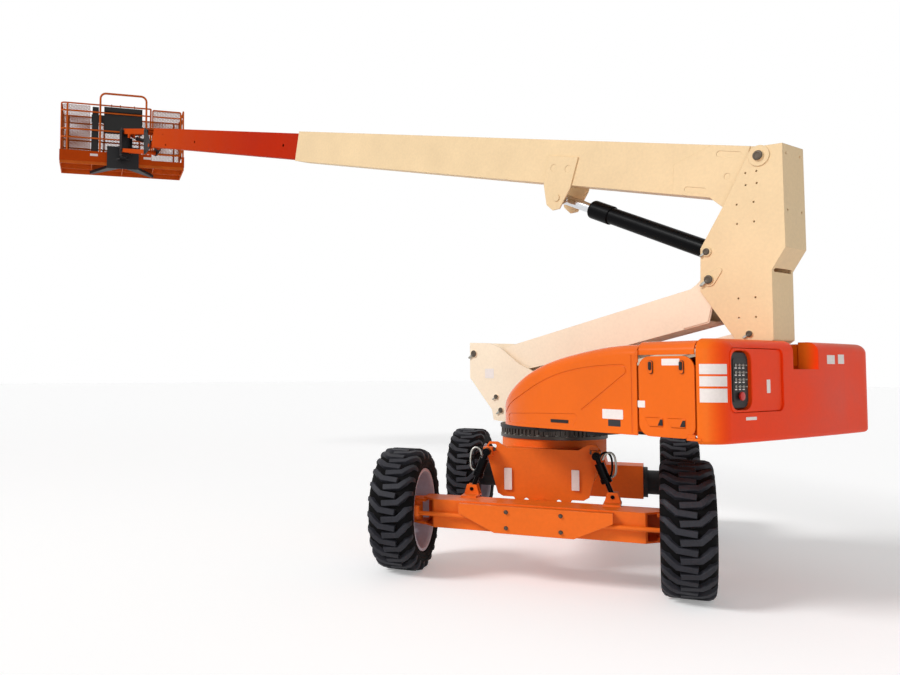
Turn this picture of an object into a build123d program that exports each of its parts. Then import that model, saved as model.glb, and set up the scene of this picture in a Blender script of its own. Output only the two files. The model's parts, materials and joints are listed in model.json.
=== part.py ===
from build123d import *

import os
from math import atan2, cos, degrees, hypot, radians, sin

# Electric articulating boom lift, all sizes in millimetres, +Z up.
# The origin lies on the ground under the swing centre. The booms work in the XZ plane, with the
# work platform toward -X and the counterweight toward +X. The chassis stands swung about Z.

os.makedirs("parts", exist_ok=True)

# ---------------------------------------------------------------- driving dimensions: chassis
SWING_DEG = 32.5            # chassis heading, from -Y toward +X
WHEELBASE = 2460.0
TRACK = 2060.0              # between the tyres' mid planes
STEER_AXLE_X = 1090.0       # steer axle ahead of the swing centre
TYRE_DIAMETER = 960.0
TYRE_WIDTH = 355.0
RIM_DIAMETER = 620.0
FRAME_WIDTH = 600.0
FRAME_BOTTOM = 575.0
FRAME_TOP = 945.0
FRAME_FRONT = 740.0
BEAM_HEIGHT = 215.0
BEAM_DEPTH = 270.0
KINGPIN_Y = 930.0
SLEW_RING_DIAMETER = 900.0

# ---------------------------------------------------------------- driving dimensions: turntable
DECK_BOTTOM = 1090.0
HOOD_BOTTOM = 1170.0
HOOD_TOP = 1775.0
HOOD_HALF_WIDTH = 1100.0
HOOD_NOSE_X = 140.0
NOSE_REAR_X = 1572.0        # seam between nose hood and side door
DOOR_REAR_X = 1965.0        # seam between side door and counterweight
TAIL_X = 2100.0
TAIL_BOTTOM = 1140.0
CHANNEL_HALF = 175.0        # free half width the booms fold into

# ---------------------------------------------------------------- driving dimensions: booms
LOWER_PIN = (-790.0, 1748.0)        # lower boom's root pin, X and Z
LOWER_TIP_PIN = (1530.0, 2247.0)    # lower boom's pin in the upright
LINK_OFFSET = (280.0, -402.0)       # timing link's pins from the lower boom's pins
UPPER_PIN = (1903.0, 3073.0)        # upper boom's root pin in the upright
UPPER_ELEVATION = 14.8
BASE_BOOM_LENGTH = 6055.0
FLY_LENGTH = 6100.0
FLY_OUT = 4900.0                    # distance of the fly's root from the pin, as it stands
UPRIGHT_HALF = 144.0
BOOM_HALF = 115.0
WEAR_PAD = 20.0             # between the two boom sections' sides
FLY_HALF = BOOM_HALF - WEAR_PAD
JIB_LENGTH = 1250.0
JIB_ELEVATION = 14.0
JIB_ARM_SPACING = 380.0

# ---------------------------------------------------------------- driving dimensions: platform
PLATFORM_TURN = 19.3
PLATFORM_LENGTH = 2440.0
PLATFORM_DEPTH = 910.0
PLATFORM_BOTTOM = 5655.0
RAIL_HEIGHT = 1100.0
ROTATOR_REACH = 150.1303    # rotator's axis ahead of the jib's tip pin

# ---------------------------------------------------------------- clearances
SEAT = 0.3                  # curved or pinned pieces of different nodes
RUN = 0.05                  # radial running fit

# ---------------------------------------------------------------- derived frames
heading = radians(SWING_DEG)
FWD = Vector(sin(heading), -cos(heading), 0)
LEFT = Vector(cos(heading), sin(heading), 0)
UP = Vector(0, 0, 1)
WHEEL_R = TYRE_DIAMETER / 2
DRIVE_AXLE_X = STEER_AXLE_X - WHEELBASE


def chassis_level(height):
    """Horizontal plane: local x forward, local y to the machine's left."""
    return Plane(origin=UP * height, x_dir=FWD, z_dir=UP)


def chassis_cross(x, height=0.0):
    """Upright plane across the chassis: local x to the left, local y up, normal forward."""
    return Plane(origin=FWD * x + UP * height, x_dir=LEFT, z_dir=FWD)


def chassis_side(y, height=0.0):
    """Upright plane along the chassis: local x forward, local y up, normal to the right."""
    return Plane(origin=LEFT * y + UP * height, x_dir=FWD, z_dir=LEFT * -1)


def boom_plane(pin, elevation):
    """Plane of a boom: local x out along it, local y its upper side, normal +Y."""
    a = radians(elevation)
    return Plane(origin=(pin[0], 0, pin[1]), x_dir=(-cos(a), 0, sin(a)), z_dir=(0, 1, 0))


def along(pin, elevation, t, h):
    """X and Z of a point t along and h above a boom's line."""
    a = radians(elevation)
    return (pin[0] - t * cos(a) + h * sin(a), pin[1] + t * sin(a) + h * cos(a))


def shifted(plane, y):
    """The same plane moved to another Y."""
    return Plane(origin=plane.origin + Vector(0, y, 0), x_dir=plane.x_dir, z_dir=plane.z_dir)


def finish(part, name):
    part.label = name
    export_step(part, "parts/" + name + ".step")


XZ = Plane(origin=(0, 0, 0), x_dir=(1, 0, 0), z_dir=(0, -1, 0))     # local x = X, local y = Z

# ================================================================ chassis
FRAME_WALL = 12.0
PLATE = 20.0
EAR_HALF = 440.0
EAR_TOP = 1010.0
SLOT_Y = 390.0
SLOT_Z = 987.0
PIVOT_Z = 500.0
PIVOT_R = 40.0
RING_SEAT = 1010.0
LOCK_X = 875.0
LOCK_EYE = 60.0
LOCK_FOOT_Y = 530.0
LOCK_HEAD_Y = 415.0
LOCK_HEAD_Z = 935.0
FRAME_REAR = DRIVE_AXLE_X + 150.0 + SEAT

with BuildPart() as chassis_frame:
    # longitudinal box between the axles
    with BuildSketch(chassis_cross(FRAME_REAR)):
        with Locations((0, (FRAME_BOTTOM + FRAME_TOP) / 2)):
            Rectangle(FRAME_WIDTH, FRAME_TOP - FRAME_BOTTOM)
            Rectangle(FRAME_WIDTH - 2 * FRAME_WALL, FRAME_TOP - FRAME_BOTTOM - 2 * FRAME_WALL,
                      mode=Mode.SUBTRACT)
    extrude(amount=FRAME_FRONT - FRAME_REAR)
    # drum that carries the slew ring
    with BuildSketch(chassis_level(FRAME_TOP - 90)):
        Circle(SLEW_RING_DIAMETER / 2 - 12)
    extrude(amount=RING_SEAT - FRAME_TOP + 90)
    with BuildSketch(chassis_level(FRAME_TOP - 120)):
        Circle(SLEW_RING_DIAMETER / 2 - 130)
    extrude(amount=RING_SEAT - FRAME_TOP + 121, mode=Mode.SUBTRACT)
    # front plate with its two tie-down ears
    with BuildSketch(chassis_cross(FRAME_FRONT)):
        with BuildLine():
            Polyline((-310, 575), (-352, 600), (-EAR_HALF, 930), (-EAR_HALF, 975), (-415, EAR_TOP),
                     (-350, EAR_TOP), (-275, 965), (275, 965), (350, EAR_TOP), (415, EAR_TOP),
                     (EAR_HALF, 975), (EAR_HALF, 930), (352, 600), (310, 575),
                     (225, 575), (150, PIVOT_Z - 50), (110, PIVOT_Z - 90), (-110, PIVOT_Z - 90),
                     (-150, PIVOT_Z - 50), (-225, 575), close=True)
        make_face()
        # lifting eyes beside the pivot
        with Locations((-125, 552), (125, 552)):
            Circle(19, mode=Mode.SUBTRACT)
        with Locations((-SLOT_Y, SLOT_Z - 12), (SLOT_Y, SLOT_Z - 12)):
            SlotOverall(64, 30, mode=Mode.SUBTRACT)
    extrude(amount=PLATE)
    # boss that holds the axle's pivot pin
    with BuildSketch(chassis_cross(FRAME_FRONT - 60, PIVOT_Z)):
        Circle(80)
    extrude(amount=60)
    with BuildSketch(chassis_cross(FRAME_FRONT - 62, PIVOT_Z)):
        Circle(PIVOT_R + SEAT)
    extrude(amount=PLATE + 64, mode=Mode.SUBTRACT)
    # side cheeks behind the ears
    with BuildSketch(chassis_level(930)):
        with BuildLine():
            Polyline((FRAME_FRONT, -EAR_HALF), (FRAME_FRONT, EAR_HALF), (360, FRAME_WIDTH / 2),
                     (360, -FRAME_WIDTH / 2), close=True)
        make_face()
    extrude(amount=15)
    with BuildSketch(chassis_level(800)):
        Circle(SLEW_RING_DIAMETER / 2 - 130)
    extrude(amount=260, mode=Mode.SUBTRACT)
    # bosses that hold the lockout cylinders' upper pins
    with BuildSketch(chassis_cross(FRAME_FRONT + PLATE)):
        with Locations((-LOCK_HEAD_Y, LOCK_HEAD_Z), (LOCK_HEAD_Y, LOCK_HEAD_Z)):
            Rectangle(70, 70)
    extrude(amount=LOCK_X - LOCK_EYE / 2 - SEAT - FRAME_FRONT - PLATE)
    with BuildSketch(chassis_cross(FRAME_FRONT + PLATE)):
        with Locations((-LOCK_HEAD_Y, LOCK_HEAD_Z), (LOCK_HEAD_Y, LOCK_HEAD_Z)):
            Circle(14 + SEAT)
    extrude(amount=200, mode=Mode.SUBTRACT)
finish(chassis_frame.part, "chassis_frame")

# axle pivot pin, fixed in the front plate
BEAM_REAR = STEER_AXLE_X - BEAM_DEPTH / 2
BEAM_FRONT = STEER_AXLE_X + BEAM_DEPTH / 2
with BuildPart() as axle_pivot_pin:
    with BuildSketch(chassis_cross(FRAME_FRONT - 70, PIVOT_Z)):
        Circle(PIVOT_R)
    extrude(amount=BEAM_FRONT - FRAME_FRONT + 70 - 12)
finish(axle_pivot_pin.part, "axle_pivot_pin")

# oscillating steer axle
BEAM_LOW = WHEEL_R - BEAM_HEIGHT / 2
BEAM_HIGH = WHEEL_R + BEAM_HEIGHT / 2
BEAM_WALL = 14.0
LOCK_FOOT_Z = BEAM_HIGH + 52.0
BEAM_END = 868.0
with BuildPart() as steer_axle:
    with BuildSketch(chassis_side(0)):
        with Locations((STEER_AXLE_X, WHEEL_R)):
            Rectangle(BEAM_DEPTH, BEAM_HEIGHT)
            Rectangle(BEAM_DEPTH - 2 * BEAM_WALL, BEAM_HEIGHT - 2 * BEAM_WALL, mode=Mode.SUBTRACT)
    extrude(amount=BEAM_END, both=True)
    # front corners cut back for the steering arms' sweep
    for side in (-1, 1):
        with BuildSketch(chassis_level(BEAM_LOW - 1)):
            with BuildLine():
                Polyline((STEER_AXLE_X + 30, side * (BEAM_END + 1)), (BEAM_FRONT + 1, side * (BEAM_END - 108)),
                         (BEAM_FRONT + 1, side * (BEAM_END + 1)), close=True)
            make_face()
        extrude(amount=BEAM_HEIGHT + 2, mode=Mode.SUBTRACT)
    # pivot sleeve through both webs
    with BuildSketch(chassis_cross(FRAME_FRONT + PLATE + 6, PIVOT_Z)):
        Circle(PIVOT_R + 28)
    extrude(amount=BEAM_FRONT - FRAME_FRONT - PLATE - 6)
    with BuildSketch(chassis_cross(FRAME_FRONT, PIVOT_Z)):
        Circle(PIVOT_R + RUN)
    extrude(amount=BEAM_FRONT - FRAME_FRONT + 1, mode=Mode.SUBTRACT)
    # kingpin fork plates above and below, narrowed inside the rim
    for side in (-1, 1):
        for z in (WHEEL_R - 98, WHEEL_R + 78):
            with BuildSketch(chassis_level(z)):
                with BuildLine():
                    Polyline((STEER_AXLE_X - 110, side * (BEAM_END - 30)), (STEER_AXLE_X - 62, side * KINGPIN_Y),
                             (STEER_AXLE_X - 40, side * (KINGPIN_Y + 45)), (STEER_AXLE_X + 40, side * (KINGPIN_Y + 45)),
                             (STEER_AXLE_X + 62, side * KINGPIN_Y), (STEER_AXLE_X + 110, side * (BEAM_END - 30)),
                             close=True)
                make_face()
                with Locations((STEER_AXLE_X, side * KINGPIN_Y)):
                    Circle(20 + RUN, mode=Mode.SUBTRACT)
            extrude(amount=20)
    # lockout cylinder brackets on top of the beam
    for side in (-1, 1):
        with BuildSketch(chassis_level(BEAM_HIGH - 2)):
            with Locations(((LOCK_X - LOCK_EYE / 2 - 14 - SEAT + BEAM_REAR + 90) / 2, side * LOCK_FOOT_Y)):
                Rectangle(BEAM_REAR + 90 - LOCK_X + LOCK_EYE / 2 + 14 + SEAT, 124)
        extrude(amount=14)
        for x in (LOCK_X - LOCK_EYE / 2 - 14 - SEAT, LOCK_X + LOCK_EYE / 2 + SEAT):
            with BuildSketch(chassis_cross(x)):
                with BuildLine():
                    Polyline((side * (LOCK_FOOT_Y - 62), BEAM_HIGH), (side * (LOCK_FOOT_Y - 38), LOCK_FOOT_Z + 34),
                             (side * (LOCK_FOOT_Y + 38), LOCK_FOOT_Z + 34), (side * (LOCK_FOOT_Y + 62), BEAM_HIGH),
                             close=True)
                make_face()
                with Locations((side * LOCK_FOOT_Y, LOCK_FOOT_Z)):
                    Circle(14 + SEAT, mode=Mode.SUBTRACT)
            extrude(amount=14)
finish(steer_axle.part, "steer_axle")

# bolted guard plate in front of the steer axle's middle
GUARD_X = BEAM_FRONT + 62.0
with BuildPart() as axle_guard:
    with BuildSketch(chassis_cross(GUARD_X)):
        with BuildLine():
            Polyline((-550, 578), (-550, 505), (-285, 378), (285, 378), (550, 505), (550, 578), close=True)
        make_face()
        with Locations((-195, 537), (195, 537), (-195, 420), (195, 420)):
            Circle(13, mode=Mode.SUBTRACT)
    extrude(amount=12)
    # upper lip folded back to the beam
    with BuildSketch(chassis_level(566)):
        with Locations(((BEAM_FRONT + GUARD_X) / 2 + 6, 0)):
            Rectangle(GUARD_X - BEAM_FRONT + 12, 1100)
    extrude(amount=12)
    # two spacers to the beam
    with BuildSketch(chassis_cross(BEAM_FRONT)):
        with Locations((-330, 540), (330, 540)):
            Rectangle(60, 40)
    extrude(amount=GUARD_X - BEAM_FRONT)
finish(axle_guard.part, "axle_guard")

# drive axle beam with its wheel motors' mounting ends
DRIVE_HALF = 700.0
DRIVE_BOX = 300.0
with BuildPart() as drive_axle:
    with BuildSketch(chassis_side(0)):
        with Locations((DRIVE_AXLE_X, WHEEL_R + 10)):
            Rectangle(DRIVE_BOX, 320)
            Rectangle(DRIVE_BOX - 28, 292, mode=Mode.SUBTRACT)
    extrude(amount=DRIVE_HALF, both=True)
    for side in (-1, 1):
        with BuildSketch(chassis_side(side * DRIVE_HALF)):
            with Locations((DRIVE_AXLE_X, WHEEL_R + 10)):
                Rectangle(DRIVE_BOX, 320)
        extrude(amount=side * 18)
    # saddle up to the frame's tail
    with BuildSketch(chassis_cross(DRIVE_AXLE_X - 150)):
        with BuildLine():
            Polyline((-360, WHEEL_R + 168), (-300, FRAME_TOP - 60), (300, FRAME_TOP - 60),
                     (360, WHEEL_R + 168), close=True)
        make_face()
    extrude(amount=DRIVE_BOX)
    with BuildSketch(chassis_cross(DRIVE_AXLE_X - 160)):
        with BuildLine():
            Polyline((-330, WHEEL_R + 184), (-280, FRAME_TOP - 76), (280, FRAME_TOP - 76),
                     (330, WHEEL_R + 184), close=True)
        make_face()
    extrude(amount=296, mode=Mode.SUBTRACT)
finish(drive_axle.part, "drive_axle")

# slew ring: toothed outer race bolted to the drum
RING_TEETH = 72
RING_TOP = DECK_BOTTOM - SEAT
ring_r = SLEW_RING_DIAMETER / 2
with BuildPart() as slew_ring:
    with BuildSketch(chassis_level(RING_SEAT)):
        Circle(ring_r)
        Circle(ring_r - 120, mode=Mode.SUBTRACT)
    extrude(amount=28)
    with BuildSketch(chassis_level(RING_SEAT + 28)):
        Circle(ring_r - 16)
        with PolarLocations(ring_r - 12, RING_TEETH):
            Trapezoid(22, 16, 74, align=(Align.CENTER, Align.CENTER), rotation=-90)
        Circle(ring_r - 120, mode=Mode.SUBTRACT)
    extrude(amount=RING_TOP - RING_SEAT - 28)
finish(slew_ring.part, "slew_ring")

# lockout cylinders between the steer axle and the frame's ears
for name, side in (("lockout_cylinder_left", 1), ("lockout_cylinder_right", -1)):
    foot = FWD * LOCK_X + LEFT * (side * LOCK_FOOT_Y) + UP * LOCK_FOOT_Z
    head = FWD * LOCK_X + LEFT * (side * LOCK_HEAD_Y) + UP * LOCK_HEAD_Z
    axis = (head - foot).normalized()
    span = (head - foot).length
    with BuildPart() as lockout:
        with BuildSketch(Plane(origin=foot, x_dir=FWD, z_dir=axis)):
            Circle(18)
        extrude(amount=span)
        with BuildSketch(Plane(origin=foot + axis * (span * 0.34), x_dir=FWD, z_dir=axis)):
            Circle(36)
        extrude(amount=span * 0.48)
        with BuildSketch(Plane(origin=foot + axis * (span * 0.34), x_dir=FWD, z_dir=axis)):
            Circle(42)
        extrude(amount=34)
        for centre in (foot, head):
            with BuildSketch(Plane(origin=centre - FWD * (LOCK_EYE / 2), x_dir=LEFT, z_dir=FWD)):
                Circle(30)
            extrude(amount=LOCK_EYE)
        # the eyes' pins
        for centre, back, front in ((foot, 50, 50), (head, 70, 42)):
            with BuildSketch(Plane(origin=centre - FWD * back, x_dir=LEFT, z_dir=FWD)):
                Circle(14)
            extrude(amount=back + front)
    finish(lockout.part, name)

# steering knuckles: a hub post on the kingpin, an arm forward for the tie rod, a spindle outward
ARM_LENGTH = 175.0
ARM_Z = WHEEL_R
SPINDLE_R = 38.0
HUB_FACE = TRACK / 2 + 25.0         # where the rim's disc sits on the hub
ROD_R = 17.0
for name, side in (("steer_knuckle_left", 1), ("steer_knuckle_right", -1)):
    pin = FWD * STEER_AXLE_X + LEFT * (side * KINGPIN_Y) + UP * WHEEL_R
    out = LEFT * side
    with BuildPart() as knuckle:
        with BuildSketch(chassis_level(WHEEL_R - 78 + 1.0)):
            with Locations((STEER_AXLE_X, side * KINGPIN_Y)):
                Circle(44)
        extrude(amount=156 - 2.0)
        # spindle flange and spindle
        with BuildSketch(Plane(origin=pin, x_dir=FWD, z_dir=out)):
            Circle(62)
        extrude(amount=HUB_FACE - KINGPIN_Y - 22)
        with BuildSketch(Plane(origin=pin, x_dir=FWD, z_dir=out)):
            Circle(SPINDLE_R)
        extrude(amount=HUB_FACE - KINGPIN_Y + 62)
        # steering arm, ending in a boss above the tie rod's eye
        with BuildSketch(chassis_level(ARM_Z + 26)):
            with BuildLine():
                Polyline((STEER_AXLE_X, side * (KINGPIN_Y - 34)), (STEER_AXLE_X + ARM_LENGTH, side * (KINGPIN_Y - 62)),
                         (STEER_AXLE_X + ARM_LENGTH, side * (KINGPIN_Y - 12)), (STEER_AXLE_X, side * (KINGPIN_Y + 34)),
                         close=True)
            make_face()
        extrude(amount=20)
        with BuildSketch(chassis_level(ARM_Z + 26)):
            with Locations((STEER_AXLE_X + ARM_LENGTH, side * (KINGPIN_Y - 37))):
                Circle(27)
        extrude(amount=30)
        # kingpin ends in the fork plates
        with BuildSketch(chassis_level(WHEEL_R - 104)):
            with Locations((STEER_AXLE_X, side * KINGPIN_Y)):
                Circle(20)
        extrude(amount=208)
    finish(knuckle.part, name)

with BuildPart() as tie_rod:
    with BuildSketch(chassis_side(0)):
        with Locations((STEER_AXLE_X + ARM_LENGTH, ARM_Z)):
            Circle(ROD_R)
    extrude(amount=KINGPIN_Y - 37 - 10, both=True)
    for side in (-1, 1):
        with BuildSketch(chassis_level(ARM_Z - 25)):
            with Locations((STEER_AXLE_X + ARM_LENGTH, side * (KINGPIN_Y - 37))):
                Circle(26)
        extrude(amount=25 + 26 - 0.6)
finish(tie_rod.part, "tie_rod")

# wheels: rim with an offset disc, and a foam-filled tyre on it
RIM_R = RIM_DIAMETER / 2
RIM_HALF = 158.0
TYRE_HALF = TYRE_WIDTH / 2
SIDE_WALL = 170.0                   # rim to tread, that the tyre's section is drawn for
DRIVE_DISC = 30.0                   # drive wheels' disc face from their mid plane
wheels = (
    # name, axle x, side, disc face from the wheel's mid plane, bore radius
    ("steer_left", STEER_AXLE_X, 1, HUB_FACE - TRACK / 2, SPINDLE_R + RUN),
    ("steer_right", STEER_AXLE_X, -1, HUB_FACE - TRACK / 2, SPINDLE_R + RUN),
    ("drive_left", DRIVE_AXLE_X, 1, DRIVE_DISC, 60.0 + RUN),
    ("drive_right", DRIVE_AXLE_X, -1, DRIVE_DISC, 60.0 + RUN),
)
for name, axle_x, side, disc, bore in wheels:
    centre = FWD * axle_x + LEFT * (side * TRACK / 2) + UP * WHEEL_R
    out = LEFT * side
    section = Plane(origin=centre, x_dir=FWD, z_dir=FWD.cross(out))     # local x radial, y outward
    spin = Axis(centre, out)
    with BuildPart() as rim:
        with BuildSketch(section):
            with BuildLine():
                Polyline((RIM_R - 8, -RIM_HALF), (RIM_R + 14, -RIM_HALF), (RIM_R + 14, -RIM_HALF + 10),
                         (RIM_R, -RIM_HALF + 18), (RIM_R, RIM_HALF - 18), (RIM_R + 14, RIM_HALF - 10),
                         (RIM_R + 14, RIM_HALF), (RIM_R - 8, RIM_HALF), (RIM_R - 14, RIM_HALF - 20),
                         (RIM_R - 14, disc + 40), (RIM_R - 60, disc + 20), (200, disc + 16), (150, disc + 14),
                         (bore, disc + 14), (bore, disc), (150, disc), (200, disc + 2), (RIM_R - 66, disc + 6),
                         (RIM_R - 14, disc - 12), (RIM_R - 14, -RIM_HALF + 20), close=True)
            make_face()
        revolve(axis=spin)
        # round hand holes in the disc
        with BuildSketch(Plane(origin=centre - out * 40, x_dir=FWD, z_dir=out)):
            with PolarLocations(215, 8):
                Circle(20)
        extrude(amount=160, mode=Mode.SUBTRACT)
        # wheel nuts on their circle
        with BuildSketch(Plane(origin=centre + out * (disc + 14), x_dir=FWD, z_dir=out)):
            with PolarLocations(120, 9):
                RegularPolygon(17, 6)
        extrude(amount=18)
    finish(rim.part, "rim_" + name)
    with BuildPart() as tyre:
        with BuildSketch(section):
            with BuildLine():
                wall = (WHEEL_R - RIM_R) / SIDE_WALL
                bead, belly = RIM_R + 24 * wall, RIM_R + 62 * wall
                upper, shoulder, crown = WHEEL_R - 82 * wall, WHEEL_R - 38 * wall, WHEEL_R - 10 * wall
                Polyline((RIM_R + SEAT, 138), (RIM_R + 16 * wall, 140), (bead, 162), (belly, 177),
                         (upper, 177.5), (shoulder, 172), (crown, 152), (WHEEL_R, 120),
                         (WHEEL_R, -120), (crown, -152), (shoulder, -172), (upper, -177.5),
                         (belly, -177), (bead, -162), (RIM_R + 16 * wall, -140), (RIM_R + SEAT, -138),
                         close=True)
            make_face()
        revolve(axis=spin)
    finish(tyre.part, "tyre_" + name)

# drive hubs: motor drum inboard, hub flange at the rim's disc, fixed spindle through the bore
for name, side in (("drive_motor_left", 1), ("drive_motor_right", -1)):
    base = FWD * DRIVE_AXLE_X + UP * WHEEL_R
    out = LEFT * side
    with BuildPart() as motor:
        with BuildSketch(Plane(origin=base + out * (DRIVE_HALF + SEAT), x_dir=FWD, z_dir=out)):
            Circle(150)
        extrude(amount=40)
        with BuildSketch(Plane(origin=base + out * (DRIVE_HALF + SEAT), x_dir=FWD, z_dir=out)):
            Circle(118)
        extrude(amount=TRACK / 2 + DRIVE_DISC - DRIVE_HALF - 2 * SEAT)
        with BuildSketch(Plane(origin=base + out * (TRACK / 2), x_dir=FWD, z_dir=out)):
            Circle(60)
        extrude(amount=80)
    finish(motor.part, name)


# ================================================================ turntable
RAIL_Y = 200.0
RAIL_T = 16.0
DECK_T = 30.0
DECK_TOP = DECK_BOTTOM + DECK_T
TRAY_Z = HOOD_BOTTOM + 4.0
TRAY_T = 12.0
TRAY_REAR = 1405.0
HINGE_Y = HOOD_HALF_WIDTH + 6.0
HINGE_LEAF = 30.0

with BuildPart() as turntable_frame:
    with BuildSketch(Plane.XY.offset(DECK_BOTTOM)):
        Circle(SLEW_RING_DIAMETER / 2 + 5)
        Circle(150, mode=Mode.SUBTRACT)
    extrude(amount=DECK_T)
    # floor between the rails, ahead of the upright's well
    with BuildSketch(Plane.XY.offset(DECK_TOP - 12)):
        with Locations(((1370 + 300) / 2, 0)):
            Rectangle(1370 - 300, 2 * RAIL_Y)
    extrude(amount=12)
    # rails that carry the booms, the trays and the counterweight
    for side in (-1, 1):
        with BuildSketch(shifted(XZ, side * RAIL_Y)):
            with BuildLine():
                Polyline((150, DECK_TOP - 20), (150, 1190), (440, 1405), (600, 1480), (1410, 1480), (1410, 1190),
                         (2040, 1190), (2040, TAIL_BOTTOM + 2), (1380, TAIL_BOTTOM + 2), (1300, DECK_TOP - 20),
                         close=True)
            make_face()
        extrude(amount=-side * RAIL_T)
        with BuildSketch(Plane.XY.offset(TRAY_Z)):
            with BuildLine():
                Polyline((440, side * RAIL_Y), (440, side * 990), (700, side * 1070), (TRAY_REAR, side * 1070),
                         (TRAY_REAR, side * RAIL_Y), close=True)
            make_face()
        extrude(amount=TRAY_T)
        # outriggers below each tray
        for x in (760, 1180):
            with BuildSketch(Plane.XY.offset(TRAY_Z - 34)):
                with Locations((x, side * (RAIL_Y + 430))):
                    Rectangle(60, 860)
            extrude(amount=34)
finish(turntable_frame.part, "turntable_frame")

# cream plates at the front that hold the lower boom and its links
FRAME_IN = 147.0
FRAME_OUT = 163.0
LIFT_ROOT = (LOWER_PIN[0] + 336, LOWER_PIN[1] - 524)
LINK_ROOT = (LOWER_PIN[0] + LINK_OFFSET[0], LOWER_PIN[1] + LINK_OFFSET[1])
LINK_TIP = (LOWER_TIP_PIN[0] + LINK_OFFSET[0], LOWER_TIP_PIN[1] + LINK_OFFSET[1])
ROOT_PIN_R = 32.0
LINK_PIN_R = 22.0
LIFT_PIN_R = 25.0
LINK_IN = 85.0
LINK_OUT = 110.0
with BuildPart() as boom_frame:
    with BuildSketch(XZ):
        with BuildLine():
            Polyline((-850, 1854), (-590, 1843), (-466, 1798), (-230, 1640), (120, 1500), (420, 1400),
                     (420, DECK_TOP), (-420, DECK_TOP), (-552, 1130), (-572, 1223), (-850, 1518), close=True)
        make_face()
    extrude(amount=FRAME_OUT, both=True)
    with BuildSketch(XZ):
        with Locations((0, 1500)):
            Rectangle(2000, 1000)
    extrude(amount=FRAME_IN, both=True, mode=Mode.SUBTRACT)
    # bottom plate on the deck and a cross wall
    with BuildSketch(Plane.XY.offset(DECK_TOP)):
        with Locations((20, 0)):
            Rectangle(800, 2 * FRAME_OUT)
    extrude(amount=14)
    # pins of the lower boom and of its lift cylinder, with their heads
    for pin, r in ((LOWER_PIN, ROOT_PIN_R), (LIFT_ROOT, LIFT_PIN_R)):
        with BuildSketch(XZ):
            with Locations(pin):
                Circle(r)
        extrude(amount=FRAME_OUT + 12, both=True)
    for side in (-1, 1):
        with BuildSketch(shifted(XZ, side * (LINK_IN - 4))):
            with Locations(LINK_ROOT):
                Circle(LINK_PIN_R)
        extrude(amount=-side * (FRAME_OUT + 12 - LINK_IN + 4))
        with BuildSketch(shifted(XZ, side * (LINK_OUT + 1))):
            with Locations(LINK_ROOT):
                Circle(LINK_PIN_R + 16)
        extrude(amount=-side * (FRAME_IN - LINK_OUT - 1))
finish(boom_frame.part, "boom_frame")

# battery packs on the trays
for name, side in (("battery_pack_right", -1), ("battery_pack_left", 1)):
    with BuildPart() as battery:
        with BuildSketch(Plane.XY.offset(TRAY_Z + TRAY_T)):
            with Locations((1010, side * 640)):
                RectangleRounded(700, 760, 20)
        extrude(amount=270)
    finish(battery.part, name)

DOOR_HINGE_Z = HOOD_BOTTOM - 2.0
# counterweight: cast tail with rounded corners, a well for the upright and a notch behind it
TAIL_CORNER = 200.0
TAIL_TOP = HOOD_TOP + 12.0
WELL_REAR = 2050.0
NOTCH_Z = 1600.0
PANEL_Y = -798.0
PANEL_Z = 1530.0
with BuildPart() as counterweight:
    with BuildSketch(Plane.XY.offset(TAIL_BOTTOM)):
        with BuildLine():
            y = HOOD_HALF_WIDTH - 1
            r = TAIL_CORNER
            Polyline((DOOR_REAR_X + 10, -y), (DOOR_REAR_X + 10, y))
            ThreePointArc((DOOR_REAR_X + 10, y), (TAIL_X - r * 0.34, y - r * 0.22), (TAIL_X - 12, y - r + 20))
            ThreePointArc((TAIL_X - 12, y - r + 20), (TAIL_X + 6, 0), (TAIL_X - 12, -(y - r + 20)))
            ThreePointArc((TAIL_X - 12, -(y - r + 20)), (TAIL_X - r * 0.34, -(y - r * 0.22)),
                          (DOOR_REAR_X + 10, -y))
        make_face()
    extrude(amount=TAIL_TOP - TAIL_BOTTOM)
    rims = counterweight.faces().sort_by(Axis.Z)[-1].edges().filter_by(lambda e: e.center().X > DOOR_REAR_X + 20)
    fillet(rims, 70)
    low_rims = counterweight.faces().sort_by(Axis.Z)[0].edges().filter_by(lambda e: e.center().X > DOOR_REAR_X + 20)
    fillet(low_rims, 30)
    # forward masses on the rails, behind the side doors
    for side in (-1, 1):
        with BuildSketch(Plane.XY.offset(HOOD_BOTTOM + 22)):
            with Locations(((1425 + DOOR_REAR_X + 11) / 2, side * 640)):
                Rectangle(DOOR_REAR_X + 11 - 1425, 840)
        extrude(amount=430)
    # well for the folded upright
    with BuildSketch(Plane.XY.offset(TAIL_BOTTOM - 1)):
        with Locations(((1400 + WELL_REAR) / 2, 0)):
            Rectangle(WELL_REAR - 1400, 2 * (RAIL_Y + RAIL_T + SEAT))
    extrude(amount=NOTCH_Z - TAIL_BOTTOM + 1, mode=Mode.SUBTRACT)
    with BuildSketch(Plane.XY.offset(NOTCH_Z)):
        with Locations((1800, 0)):
            Rectangle(800, 2 * CHANNEL_HALF)
    extrude(amount=400, mode=Mode.SUBTRACT)
    # recess of the ground controls
    with BuildSketch(Plane(origin=(TAIL_X + 20, 0, 0), x_dir=(0, 1, 0), z_dir=(1, 0, 0))):
        with Locations((-615, PANEL_Z)):
            RectangleRounded(620, 400, 50)
    extrude(amount=-90, mode=Mode.SUBTRACT)
    # knuckles of the side doors' hinges
    for side in (-1, 1):
        with BuildSketch(Plane(origin=(DOOR_REAR_X, side * HINGE_Y, DOOR_HINGE_Z), z_dir=(1, 0, 0))):
            Circle(8)
        extrude(amount=40)
finish(counterweight.part, "counterweight")

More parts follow.
